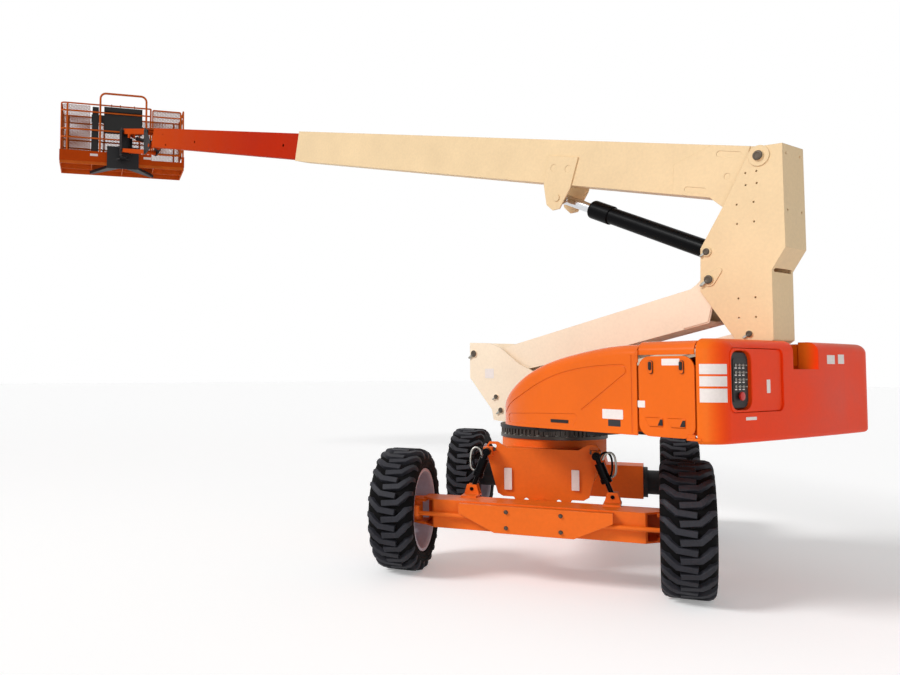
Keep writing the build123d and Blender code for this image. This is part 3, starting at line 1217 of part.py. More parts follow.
WEB_X = ROTATOR_X + 80.0
with BuildPart() as platform_support:
    for side in (-1, 1):
        with BuildSketch(shifted(XZ, side * JIB_PLATE_IN)):
            with BuildLine():
                x, z = JIB_TIP
                low = JIB_LOW_TIP[1]
                Polyline((WEB_X, z + 20), (x - 25, z + 55), (x + 25, z + 55), (x + 48, z + 20), (x + 48, low - 15),
                         (x + 20, low - 50), (WEB_X, low - 50), close=True)
            make_face()
        extrude(amount=-side * (JIB_PLATE_OUT - JIB_PLATE_IN))
    with BuildSketch(XZ):
        with Locations((WEB_X + 6, (JIB_TIP[1] + 20 + JIB_LOW_TIP[1] - 50) / 2)):
            Rectangle(12, JIB_TIP[1] - JIB_LOW_TIP[1] + 70)
    extrude(amount=JIB_PLATE_OUT, both=True)
    with BuildSketch(Plane.XY.offset(ROTATOR_LOW)):
        with Locations((ROTATOR_X, 0)):
            Circle(ROTATOR_R)
        with Locations((ROTATOR_X + 44, 0)):
            Rectangle(88, 120)
        with Locations((ROTATOR_X, 0)):
            Circle(ROTATOR_PIN_R + RUN, mode=Mode.SUBTRACT)
    extrude(amount=ROTATOR_HIGH - ROTATOR_LOW)
    for pin, start in ((JIB_TIP, ARM_HALF + 1), (JIB_LOW_TIP, BAR_OUT + 1)):
        with BuildSketch(XZ):
            with Locations(pin):
                Circle(JIB_PIN_R)
        extrude(amount=JIB_PLATE_OUT + 8, both=True)
        for side in (-1, 1):
            with BuildSketch(shifted(XZ, side * start)):
                with Locations(pin):
                    Circle(38)
            extrude(amount=-side * (JIB_PLATE_IN - start))
finish(platform_support.part, "platform_support")

DECK_NEAR = 210.0           # boom side of the platform from the rotator's axis
DECK_FAR = DECK_NEAR + PLATFORM_DEPTH
DECK_MID = (DECK_NEAR + DECK_FAR) / 2
FLOOR_TOP = PLATFORM_BOTTOM + 130.0
FLOOR_BASE = FLOOR_TOP - 3.0
HALF_LENGTH = PLATFORM_LENGTH / 2
RAIL_X_NEAR = DECK_NEAR + 25
RAIL_X_FAR = DECK_FAR - 25
RAIL_Y_END = HALF_LENGTH - 25
RAIL_R = 15.0
POST_R = 18.0
with BuildPart() as platform_bracket:
    for z in (ROTATOR_LOW - 23, ROTATOR_HIGH + 3):
        with BuildSketch(deck_plane(z)):
            Circle(64)
            with BuildLine():
                Polyline((0, -64), (132, -64), (DECK_NEAR - 10, -150), (DECK_NEAR - 10, 150), (132, 64), (0, 64),
                         close=True)
            make_face()
        extrude(amount=20)
    with BuildSketch(deck_plane(ROTATOR_LOW - 30)):
        Circle(ROTATOR_PIN_R)
    extrude(amount=ROTATOR_HIGH - ROTATOR_LOW + 60)
    with BuildSketch(deck_plane(5600)):
        with Locations((DECK_NEAR - 16, 0)):
            Rectangle(20, 620)
    extrude(amount=ROTATOR_HIGH + 23 - 5600)
    # arms under the floor
    for side in (-1, 1):
        with BuildSketch(deck_plane(5600)):
            with BuildLine():
                Polyline((DECK_NEAR - 20, side * 60), (DECK_NEAR + 560, side * 560), (DECK_NEAR + 560, side * 640),
                         (DECK_NEAR - 20, side * 300), close=True)
            make_face()
        extrude(amount=PLATFORM_BOTTOM - 5600 - SEAT)
finish(platform_bracket.part, "platform_bracket")

with BuildPart() as platform_floor:
    with BuildSketch(deck_plane(PLATFORM_BOTTOM)):
        with Locations((DECK_MID, 0)):
            Rectangle(PLATFORM_DEPTH - 12, PLATFORM_LENGTH - 12)
    extrude(amount=FLOOR_BASE - PLATFORM_BOTTOM)
    # tread plate inside the posts
    with BuildSketch(deck_plane(FLOOR_BASE)):
        with Locations((DECK_MID, 0)):
            RectangleRounded(2 * (DECK_MID - RAIL_X_NEAR - POST_R - 8), 2 * (RAIL_Y_END - POST_R - 8), 30)
    extrude(amount=FLOOR_TOP - FLOOR_BASE)
    with BuildSketch(deck_plane(PLATFORM_BOTTOM - 1)):
        for ix in (-1, 1):
            for iy in (-1.5, -0.5, 0.5, 1.5):
                with Locations((DECK_MID + ix * 222, iy * 602)):
                    Rectangle(430, 588)
    extrude(amount=FLOOR_BASE - PLATFORM_BOTTOM + 1 - 5, mode=Mode.SUBTRACT)
finish(platform_floor.part, "platform_floor")

GATE_WIDTH = 600.0
GATE_FROM = 60.0 - HALF_LENGTH
GATE_TO = GATE_FROM + GATE_WIDTH
TOP_RAIL_Z = FLOOR_TOP + RAIL_HEIGHT - 15
TOE_LOW = 5716.0
TOE_HIGH = 5925.0
with BuildPart() as toe_board:
    with BuildSketch(deck_plane(TOE_LOW)):
        with Locations((DECK_MID, 0)):
            Rectangle(PLATFORM_DEPTH, PLATFORM_LENGTH)
            Rectangle(PLATFORM_DEPTH - 11, PLATFORM_LENGTH - 11, mode=Mode.SUBTRACT)
    extrude(amount=TOE_HIGH - TOE_LOW)
    # threshold below the gate
    with BuildSketch(deck_plane(FLOOR_TOP + 25)):
        with Locations((DECK_NEAR, (GATE_FROM + GATE_TO) / 2)):
            Rectangle(40, GATE_TO - GATE_FROM)
    extrude(amount=TOE_HIGH, mode=Mode.SUBTRACT)
finish(toe_board.part, "toe_board")

HOOP_HALF = 450.0
RAIL_BEND = 70.0
rail_levels = (6190.0, 6355.0, 6720.0, TOP_RAIL_Z)
bend_y = RAIL_Y_END - RAIL_BEND - 30
rail_frames = (
    # name, course of each rail, posts
    ("platform_rail_rear", ((RAIL_X_NEAR, GATE_TO + 20), (RAIL_X_NEAR, bend_y)),
     ((RAIL_X_NEAR, GATE_TO + 20), (RAIL_X_NEAR, -HOOP_HALF), (RAIL_X_NEAR, HOOP_HALF), (RAIL_X_NEAR, bend_y - POST_R))),
    ("platform_rail_left",
     ((RAIL_X_NEAR, bend_y), (RAIL_X_NEAR, RAIL_Y_END), (RAIL_X_FAR, RAIL_Y_END), (RAIL_X_FAR, bend_y)),
     ((RAIL_X_NEAR + 110, RAIL_Y_END), (RAIL_X_FAR - 110, RAIL_Y_END))),
    ("platform_rail_front", ((RAIL_X_FAR, bend_y), (RAIL_X_FAR, -bend_y)),
     ((RAIL_X_FAR, bend_y - POST_R), (RAIL_X_FAR, 365), (RAIL_X_FAR, -365), (RAIL_X_FAR, POST_R - bend_y))),
    ("platform_rail_right", ((RAIL_X_FAR, -bend_y), (RAIL_X_FAR, -RAIL_Y_END), (RAIL_X_NEAR, -RAIL_Y_END)),
     ((RAIL_X_FAR - 110, -RAIL_Y_END), (RAIL_X_NEAR, -RAIL_Y_END))),
)
for name, course, posts in rail_frames:
    with BuildPart() as rail_frame:
        for z in rail_levels:
            with BuildLine(deck_plane(z)) as path:
                run = Polyline(*course)
                if len(course) > 2:
                    fillet(run.vertices()[1:-1], RAIL_BEND)
            with BuildSketch(Plane(origin=path.line @ 0, z_dir=path.line % 0)):
                Circle(RAIL_R)
            sweep(path=path.line)
        for x, y in posts:
            with BuildSketch(deck_plane(FLOOR_BASE + SEAT)):
                with Locations((x, y)):
                    Circle(POST_R)
            extrude(amount=TOP_RAIL_Z - FLOOR_BASE)
    finish(rail_frame.part, name)

MESH_LOW = TOE_HIGH + 10
MESH_HIGH = TOP_RAIL_Z - 20
MESH_FROM_Y = 640.0         # the rear side's mesh starts beside the console
with BuildPart() as platform_mesh:
    inner = POST_R + SEAT
    with BuildSketch(deck_plane(MESH_LOW)):
        with Locations((DECK_MID, 0)):
            RectangleRounded(2 * (RAIL_X_FAR - inner - DECK_MID), 2 * (RAIL_Y_END - inner), 50)
            RectangleRounded(2 * (RAIL_X_FAR - inner - DECK_MID) - 8, 2 * (RAIL_Y_END - inner) - 8, 46,
                             mode=Mode.SUBTRACT)
        with Locations((RAIL_X_NEAR, (MESH_FROM_Y - HALF_LENGTH) / 2)):
            Rectangle(160, MESH_FROM_Y + HALF_LENGTH, mode=Mode.SUBTRACT)
    extrude(amount=MESH_HIGH - MESH_LOW)
finish(platform_mesh.part, "platform_mesh")

GATE_R = 10.0
gate_mid = (GATE_FROM + GATE_TO) / 2
with BuildPart() as platform_gate:
    with BuildSketch(deck_cross(RAIL_X_NEAR)):
        with Locations((gate_mid, (TOE_HIGH + TOP_RAIL_Z) / 2)):
            RectangleRounded(GATE_TO - GATE_FROM - 14, TOP_RAIL_Z - TOE_HIGH - 20, 40)
            RectangleRounded(GATE_TO - GATE_FROM - 14 - 52, TOP_RAIL_Z - TOE_HIGH - 72, 20, mode=Mode.SUBTRACT)
        for z in rail_levels[:3]:
            with Locations((gate_mid, z)):
                Rectangle(GATE_TO - GATE_FROM - 40, 24)
    extrude(amount=GATE_R, both=True)
    # hinge knuckles beside the corner post
    for z in (6010.0, 6740.0):
        with BuildSketch(deck_plane(z)):
            with Locations((RAIL_X_NEAR, GATE_FROM)):
                Circle(RAIL_Y_END - POST_R + GATE_FROM - SEAT)
        extrude(amount=60)
finish(platform_gate.part, "platform_gate")

HOOP_TOP = 7120.0
HOOP_LOW = 5990.0
HOOP_R = 20.0
HOOP_X = RAIL_X_NEAR - POST_R - HOOP_R - 0.3
with BuildPart() as console_guard:
    with BuildLine(deck_cross(HOOP_X)) as path:
        run = Polyline((-HOOP_HALF, HOOP_LOW), (-HOOP_HALF, HOOP_TOP - HOOP_R), (HOOP_HALF, HOOP_TOP - HOOP_R),
                       (HOOP_HALF, HOOP_LOW))
        fillet(run.vertices()[1:-1], 110)
    with BuildSketch(Plane(origin=path.line @ 0, z_dir=path.line % 0)):
        Circle(HOOP_R)
    sweep(path=path.line)
finish(console_guard.part, "console_guard")

CONSOLE_HALF = 375.0
TROUGH_FROM = 478.0         # cable trough beside the guard's post, hung from the console
TROUGH_TO = 618.0
deck_side = Plane(origin=Vector(ROTATOR_X, 0, 0), x_dir=OUTWARD, z_dir=UP.cross(OUTWARD) * -1)
with BuildPart() as platform_console:
    with BuildSketch(deck_side):
        with BuildLine():
            x = RAIL_X_NEAR + RAIL_R + 0.4
            Polyline((x, 6330), (x, 6850), (x + 60, 6850), (x + 190, 6780), (x + 190, 6720), (x + 80, 6560),
                     (x + 80, 6330), close=True)
        make_face()
    extrude(amount=CONSOLE_HALF, both=True)
    # shelf out to the trough, passing behind the guard's post
    with BuildSketch(deck_cross(RAIL_X_NEAR + POST_R + 3)):
        with Locations(((CONSOLE_HALF + TROUGH_TO) / 2 - 5, 6600)):
            Rectangle(TROUGH_TO - CONSOLE_HALF + 10, 150)
        with BuildLine():
            Polyline((TROUGH_FROM, TOE_HIGH + 14), (TROUGH_TO, TOE_HIGH + 14), (TROUGH_TO - 18, 6832),
                     (TROUGH_FROM, 6832), close=True)
        make_face()
    extrude(amount=44)
finish(platform_console.part, "platform_console")
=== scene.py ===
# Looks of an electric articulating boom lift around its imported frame. Sizes are millimetres
# in the frame of each sub-assembly; the mesh maker turns them to metres.

import json
import logging
import math
from dataclasses import dataclass, field
from enum import Enum

import bmesh
import bpy
from mathutils import Matrix, Vector
from mathutils.bvhtree import BVHTree


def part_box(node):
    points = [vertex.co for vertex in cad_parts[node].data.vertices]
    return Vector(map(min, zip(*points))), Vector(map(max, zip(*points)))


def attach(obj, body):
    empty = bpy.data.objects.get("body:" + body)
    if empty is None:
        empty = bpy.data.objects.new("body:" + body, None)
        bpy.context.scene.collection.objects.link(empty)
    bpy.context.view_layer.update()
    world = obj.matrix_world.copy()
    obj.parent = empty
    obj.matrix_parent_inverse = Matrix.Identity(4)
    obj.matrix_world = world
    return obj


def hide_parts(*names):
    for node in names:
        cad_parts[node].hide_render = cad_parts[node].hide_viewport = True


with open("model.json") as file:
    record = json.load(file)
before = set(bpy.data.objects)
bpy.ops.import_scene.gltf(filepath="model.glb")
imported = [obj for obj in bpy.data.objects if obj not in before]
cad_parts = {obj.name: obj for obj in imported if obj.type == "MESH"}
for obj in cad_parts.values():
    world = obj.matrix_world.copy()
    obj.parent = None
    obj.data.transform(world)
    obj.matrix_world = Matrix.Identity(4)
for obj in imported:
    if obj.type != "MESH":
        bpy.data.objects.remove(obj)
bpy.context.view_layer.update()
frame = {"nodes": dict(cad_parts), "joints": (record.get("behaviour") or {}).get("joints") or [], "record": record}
JOINTS = {joint["name"]: joint for joint in frame["joints"]}
MM = 0.001
SIDES = ((-1, "right"), (1, "left"))
EDGE_TURN = (0.995, 0.9)        # cosine of flat and of edge, between true and rounded normal
BROKEN = (0.42, 0.58)           # noise values between which the rubbing starts
NOISE_SPAN = (0.3, 0.7)         # where nearly all values of a noise lie
GLOSS_SPAN = (0.86, 1.16)       # shares of the roughness that clean and dull patches have
RELIEF_M = 0.002
BEVEL_FROM_DEG = 40
Pair = tuple[float, float]
Outline = list[Pair]
Spot = tuple[float, float, float]
Tree = bpy.types.NodeTree
Socket = bpy.types.NodeSocket
log = logging.getLogger("boom_lift")


# ---- finishes

def linear(code: str) -> tuple[float, float, float, float]:
    """Turns an sRGB hex colour to linear RGBA.

    Args:
        code: the colour as #rrggbb.

    Returns:
        Linear red, green, blue and an alpha of one.
    """
    parts = [int(code[i:i + 2], 16) / 255 for i in (1, 3, 5)]
    red, green, blue = [c / 12.92 if c <= 0.04045 else ((c + 0.055) / 1.055) ** 2.4 for c in parts]
    return red, green, blue, 1.0


def add_node(tree: Tree, kind: str, settings: dict | None = None,
             links: dict | None = None) -> bpy.types.Node:
    """Adds one shader node.

    Args:
        tree: the node tree that gets it.
        kind: the node's type, after ShaderNode.
        settings: attributes, or input values by socket name or number.
        links: what feeds each input, an output socket or a node with its first output.

    Returns:
        The new node.
    """
    node = tree.nodes.new(f"ShaderNode{kind}")
    for key, value in (settings or {}).items():
        if isinstance(key, int) or key in node.inputs:
            node.inputs[key].default_value = value
        else:
            setattr(node, key, value)
    for key, source in (links or {}).items():
        tree.links.new(getattr(source, "outputs", [source])[0], node.inputs[key])
    return node


@dataclass(frozen=True)
class Finish:
    """A surface: its shader values, and the grain that its colour and gloss show."""

    name: str
    colour: str
    roughness: float = 0.5
    metallic: float = 0.0
    specular: float = 0.5
    mottle: float = 0.06        # share by which the colour drifts over broad patches
    mottle_mm: float = 420.0
    grain: float = 0.03         # share by which it varies in the fine grain
    grain_mm: float = 26.0
    bump: float = 0.05
    bump_mm: float = 30.0
    edge_mm: float = 3.0        # radius that its edges catch the light with
    worn: str = ""              # colour that rubbed edges show
    wear: float = 0.0
    far_colour: str = ""        # colour that it passes to along X
    near_x: float = 0.0         # where that starts and ends, in metres
    far_x: float = 1.0

    def build(self) -> bpy.types.Material:
        """Builds the node material.

        Returns:
            The material, named for the finish.
        """
        material = bpy.data.materials.new(self.name)
        material.use_nodes = True
        tree = material.node_tree
        tree.nodes.clear()
        shader = add_node(tree, "BsdfPrincipled",
                          {"Metallic": self.metallic, "Specular IOR Level": self.specular})
        add_node(tree, "OutputMaterial", {}, {"Surface": shader})
        place = add_node(tree, "TexCoord").outputs["Object"]
        patches = self.noise(tree, place, self.mottle_mm, 3)
        specks = self.noise(tree, place, self.grain_mm, 2)
        broad = add_node(tree, "Math", {"operation": "MULTIPLY_ADD", 1: 4 * self.mottle,
                                                  2: 1 - 2 * self.mottle}, {0: patches})
        drop = add_node(tree, "Math", {"operation": "SUBTRACT", 1: 2 * self.grain},
                        {0: broad})
        tone = add_node(tree, "Math", {"operation": "MULTIPLY_ADD", 1: 4 * self.grain},
                        {0: specks, 2: drop})
        tinted = add_node(tree, "HueSaturation", {},
                          {"Value": tone, "Color": self.base(tree, place)})
        colour = tinted.outputs["Color"]
        rounded = add_node(tree, "Bevel", {"samples": 4, "Radius": self.edge_mm * MM})
        if self.wear:
            colour = self.rub(tree, place, rounded.outputs["Normal"], colour)
        tree.links.new(colour, shader.inputs["Base Color"])
        gloss = add_node(tree, "MapRange",
                         {"From Min": NOISE_SPAN[0], "From Max": NOISE_SPAN[1],
                          "To Min": self.roughness * GLOSS_SPAN[0],
                          "To Max": min(1.0, self.roughness * GLOSS_SPAN[1])}, {"Value": patches})
        tree.links.new(gloss.outputs["Result"], shader.inputs["Roughness"])
        relief = add_node(tree, "Bump", {"Strength": self.bump, "Distance": RELIEF_M},
                          {"Height": self.noise(tree, place, self.bump_mm, 3),
                           "Normal": rounded.outputs["Normal"]})
        tree.links.new(relief.outputs["Normal"], shader.inputs["Normal"])
        return material

    def noise(self, tree: Tree, place: Socket, size_mm: float,
              detail: float) -> Socket:
        """Returns the value of a noise with features of size_mm."""
        node = add_node(tree, "TexNoise", {"Scale": 1000 / size_mm, "Detail": detail},
                        {"Vector": place})
        return node.outputs["Fac"]

    def base(self, tree: Tree, place: Socket) -> Socket:
        """Gives the paint's colour, its own colour passing along X to the far colour; on the tail weight that far
        colour is painted shade.

        Args:
            tree: the material's tree.
            place: the object coordinates.

        Returns:
            A colour socket, plain or passing to the far colour along X.
        """
        plain = add_node(tree, "RGB")
        plain.outputs[0].default_value = linear(self.colour)
        if not self.far_colour:
            return plain.outputs[0]
        along = add_node(tree, "SeparateXYZ", {}, {0: place})
        share = add_node(tree, "MapRange",
                         {"From Min": self.near_x, "From Max": self.far_x},
                         {"Value": along.outputs["X"]})
        blend = add_node(tree, "Mix", {"data_type": "RGBA", 7: linear(self.far_colour)},
                         {0: share, 6: plain})
        return blend.outputs[2]

    def rub(self, tree: Tree, place: Socket,
            rounded: Socket, colour: Socket) -> Socket:
        """Rubs the paint through at the edges.

        Args:
            tree: the material's tree.
            place: the object coordinates.
            rounded: the normal of the rounded edges.
            colour: the paint's colour socket.

        Returns:
            The colour with its worn edges.
        """
        surface = add_node(tree, "NewGeometry")
        turn = add_node(tree, "VectorMath", {"operation": "DOT_PRODUCT"},
                        {0: rounded, 1: surface.outputs["Normal"]})
        edge = add_node(tree, "MapRange",
                        {"From Min": EDGE_TURN[0], "From Max": EDGE_TURN[1], "To Max": self.wear},
                        {"Value": turn.outputs["Value"]})
        broken = add_node(tree, "MapRange",
                          {"From Min": BROKEN[0], "From Max": BROKEN[1]},
                          {"Value": self.noise(tree, place, 60, 3)})
        share = add_node(tree, "Math", {"operation": "MULTIPLY"},
                         {0: edge, 1: broken})
        mixed = add_node(tree, "Mix", {"data_type": "RGBA", 7: linear(self.worn)},
                         {0: share, 6: colour})
        return mixed.outputs[2]


class Slot(Enum):
    """The record's material slots, each with its finish.

    Grains are far finer on the real paints; they are as coarse as they need to be to show.
    """

    # sprayed cream enamel over folded steel plate: warm, satin, faintly cloudy and stippled
    BOOM_CREAM = Finish("cream_enamel_sprayed", "#EFD2A6", 0.5, specular=0.25, mottle=0.05,
                        grain=0.035, grain_mm=24, worn="#B99C74", wear=0.35, edge_mm=5)
    # sprayed orange enamel on welded plate: satin, scuffed pale along its edges
    CHASSIS_ORANGE = Finish("orange_enamel_sprayed", "#F4701E", 0.45, specular=0.2,
                            worn="#F3A274", wear=0.55, edge_mm=5)
    # the same enamel on the sliding section: passing from orange at the tip to a darker red toward the root
    FLY_ORANGE = Finish("red_orange_enamel_sprayed", "#C4480E", 0.6, specular=0.04,
                        mottle=0.05, worn="#8A4A2A", wear=0.4, far_colour="#B82808",
                        near_x=-9.4, far_x=-5.2)
    # enamel on the cast tail weight: smooth and orange, with painted shade behind: a deeper, darker red where it
    # turns to face the rear
    TAIL_ORANGE = Finish("orange_enamel_cast_painted_shade_behind", "#F4701A", 0.4, specular=0.1,
                         mottle_mm=380, grain=0.02, bump=0.02, bump_mm=200, edge_mm=6,
                         far_colour="#FA4210", near_x=2.02, far_x=2.09)
    # polyester gel coat of the moulded hoods: glossy, evenly orange
    HOOD_ORANGE = Finish("orange_gel_coat_moulded", "#EC6808", 0.22, specular=0.25,
                         mottle=0.05, grain=0.015, bump=0.04, bump_mm=160, edge_mm=6)
    # black powder coat on small frames: fine, dry sheen
    FRAME_BLACK = Finish("black_powder_coat_baked", "#1B1A1C", 0.5, specular=0.3, mottle=0.1,
                         grain=0.1, grain_mm=18, worn="#6A6A6E", wear=0.3)
    # oiled steel of the bearing: dark, half bright, streaked
    BEARING_STEEL = Finish("bearing_steel_turned_oiled", "#4E4844", 0.42, 1.0, mottle=0.12,
                           mottle_mm=90, grain=0.08)
    # gloss black enamel on the cylinders' drawn tubes
    CYLINDER_BLACK = Finish("black_enamel_gloss", "#08080A", 0.3, specular=0.06, mottle=0.08,
                            grain=0.05, worn="#55555A", wear=0.25)
    # hard chrome on ground rods: bright, with a faint oil film
    ROD_CHROME = Finish("hard_chrome_ground", "#D9DBDE", 0.14, 1.0, mottle=0.03, grain=0.02)
    # grey enamel of the pressed rims, cool and a little dusty
    RIM_GREY = Finish("grey_enamel_pressed", "#B4AEBA", 0.45, mottle=0.08, mottle_mm=120,
                      grain=0.05, worn="#77737A", wear=0.4)
    # moulded rubber: near black, matt, dusted, and set darker than the rubber itself as painted shade between the
    # lugs
    TYRE_BLACK = Finish("tyre_rubber_moulded", "#0C0B0C", 0.8, specular=0.1, mottle=0.16,
                        mottle_mm=140, grain=0.12, grain_mm=22, bump=0.25, bump_mm=14)
    # orange brown enamel of the platform's tubes, deck and toe board: satin, scuffed pale
    DECK_BRONZE = Finish("orange_brown_enamel_sprayed", "#D0601C", 0.5, specular=0.12,
                         mottle=0.12, mottle_mm=160, grain=0.08, worn="#E0B090", wear=0.5)
    # the same enamel on slit and stretched steel sheet: matt, browner
    MESH_BRONZE = Finish("brown_enamel_expanded_sheet", "#A05028", 0.8, specular=0.02,
                         mottle=0.1, mottle_mm=90, grain=0.1, edge_mm=1)
    # moulded black ABS of control boxes: fine leather grain
    BOX_BLACK = Finish("black_abs_moulded", "#1B1A19", 0.5, specular=0.3, mottle=0.08,
                       grain=0.08, grain_mm=12, bump=0.1, bump_mm=8)
    # grey polypropylene of the cell boxes, dusty
    BATTERY_GREY = Finish("grey_polypropylene_moulded", "#4A4C50", 0.6, mottle=0.1,
                          mottle_mm=140, grain=0.06)


# Finishes that the record's slots don't name.
# moulded rubber of the lugs: greyer, drier and rougher than the side walls, partly from scuffing and dust, partly
# as a painted highlight of their lit tops
LUG_RUBBER_SCUFF_AND_HIGHLIGHT = Finish("tyre_rubber_lug_scuff_and_painted_highlight", "#28282E", 0.58, specular=0.25, mottle=0.24,
                        mottle_mm=70, grain=0.16, grain_mm=18, bump=0.25, bump_mm=12, edge_mm=4)
# zinc plate on bolts and keepers: pale grey, half bright
ZINC = Finish("zinc_plated_steel", "#A9A7A0", 0.38, 1.0, mottle=0.1, mottle_mm=40, grain=0.06)
# bare turned steel of pin ends: dark, brownish, streaked
PIN_STEEL = Finish("pin_steel_turned", "#5A5148", 0.45, 1.0, mottle=0.15, mottle_mm=60, grain=0.1)
# printed vinyl film left blank: flat off-white, or flat black
WHITE_PLATE = Finish("white_vinyl_film", "#F1E6E0", 0.4, mottle=0.03, mottle_mm=60, grain_mm=16,
                     edge_mm=1)
BLACK_PLATE = Finish("black_vinyl_film", "#1A181B", 0.35, mottle=0.08, grain=0.05, edge_mm=1)
# extruded rubber of the sticks' boots: dull brown
SEAL = Finish("brown_rubber_extruded", "#6A3A22", 0.6, mottle=0.12, mottle_mm=80, grain=0.1)
# red ABS of the stop buttons: clean and half glossy
RED_ABS = Finish("red_abs_moulded", "#C81E1A", 0.35, mottle=0.04, edge_mm=2)
# the booms' cream made paler, and a little less mottled and worn, on the lower boom, its frame and the timing link
PALER_CREAM = Finish("cream_enamel_paler", "#FBE8CE", 0.5, specular=0.3, mottle=0.035,
                     grain_mm=24, worn="#B99C74", wear=0.3, edge_mm=5)
PALER_CREAM_NODES = ("lower_boom", "boom_frame", "timing_link")


@dataclass
class PaintShop:
    """Keeps one material for each finish."""

    made: dict[str, bpy.types.Material] = field(default_factory=dict)

    def get(self, finish: Finish) -> bpy.types.Material:
        """Returns the finish's material, built once."""
        if finish.name not in self.made:
            self.made[finish.name] = finish.build()
        return self.made[finish.name]

    def paint_frame(self) -> None:
        """Gives every carried-over node the finish of its slot, and the lower boom, its frame and the timing link
        a paler cream.
        """
        for part in frame["record"]["subparts"]:
            mesh = frame["nodes"][part["node"]].data
            mesh.materials.clear()
            usual = Slot[part["material_slot"].upper()].value
            mesh.materials.append(self.get(PALER_CREAM if part["node"] in PALER_CREAM_NODES else usual))


SHOP = PaintShop()


# ---- mesh making

@dataclass(frozen=True)
class Axes:
    """A sub-assembly's own frame, in millimetres."""

    origin: Vector
    x: Vector
    y: Vector
    z: Vector

    def at(self, u: float, v: float, w: float) -> Vector:
        """Returns the point in metres."""
        return (self.origin + self.x * u + self.y * v + self.z * w) * MM

    def moved(self, u: float, v: float, w: float) -> "Axes":
        """Returns the same axes from another origin."""
        return Axes(self.origin + self.x * u + self.y * v + self.z * w, self.x, self.y, self.z)

    def facing(self, normal: str) -> "Axes":
        """Turns the frame so that its third axis points out of a face.

        Args:
            normal: the face's outward axis, such as "+x" or "-y".

        Returns:
            Axes whose first two lie in the face, the second one upward.
        """
        turned = {"+x": (self.y, self.z, self.x), "-x": (-self.y, self.z, -self.x),
                  "+y": (-self.x, self.z, self.y), "-y": (self.x, self.z, -self.y)}
        return Axes(self.origin, *turned[normal])

    def span(self, node: str) -> tuple[Vector, Vector]:
        """Measures a CAD node along these axes.

        Args:
            node: the node's name.

        Returns:
            Its lowest and highest corner, in millimetres.
        """
        points = [v.co / MM - self.origin for v in frame["nodes"][node].data.vertices]
        rows = [[p.dot(axis) for p in points] for axis in (self.x, self.y, self.z)]
        return Vector([min(r) for r in rows]), Vector([max(r) for r in rows])


def axes_at(origin: Spot, x: Spot, y: Spot) -> Axes:
    """Returns right-handed axes from two of them."""
    first, second = Vector(x).normalized(), Vector(y).normalized()
    return Axes(Vector(origin), first, second, first.cross(second))


ROW = axes_at((0, 0, 0), (1, 0, 0), (0, 1, 0))
HEADING = math.radians(32.5)
CHASSIS = axes_at((0, 0, 0), (math.sin(HEADING), -math.cos(HEADING), 0),
                  (math.cos(HEADING), math.sin(HEADING), 0))
DECK_TURN = math.radians(19.3)
ROTATOR = Vector(JOINTS["platform_turn"]["pos_m"]) / MM
DECK = axes_at((ROTATOR.x, ROTATOR.y, 0), (-math.cos(DECK_TURN), math.sin(DECK_TURN), 0),
               (-math.sin(DECK_TURN), -math.cos(DECK_TURN), 0))


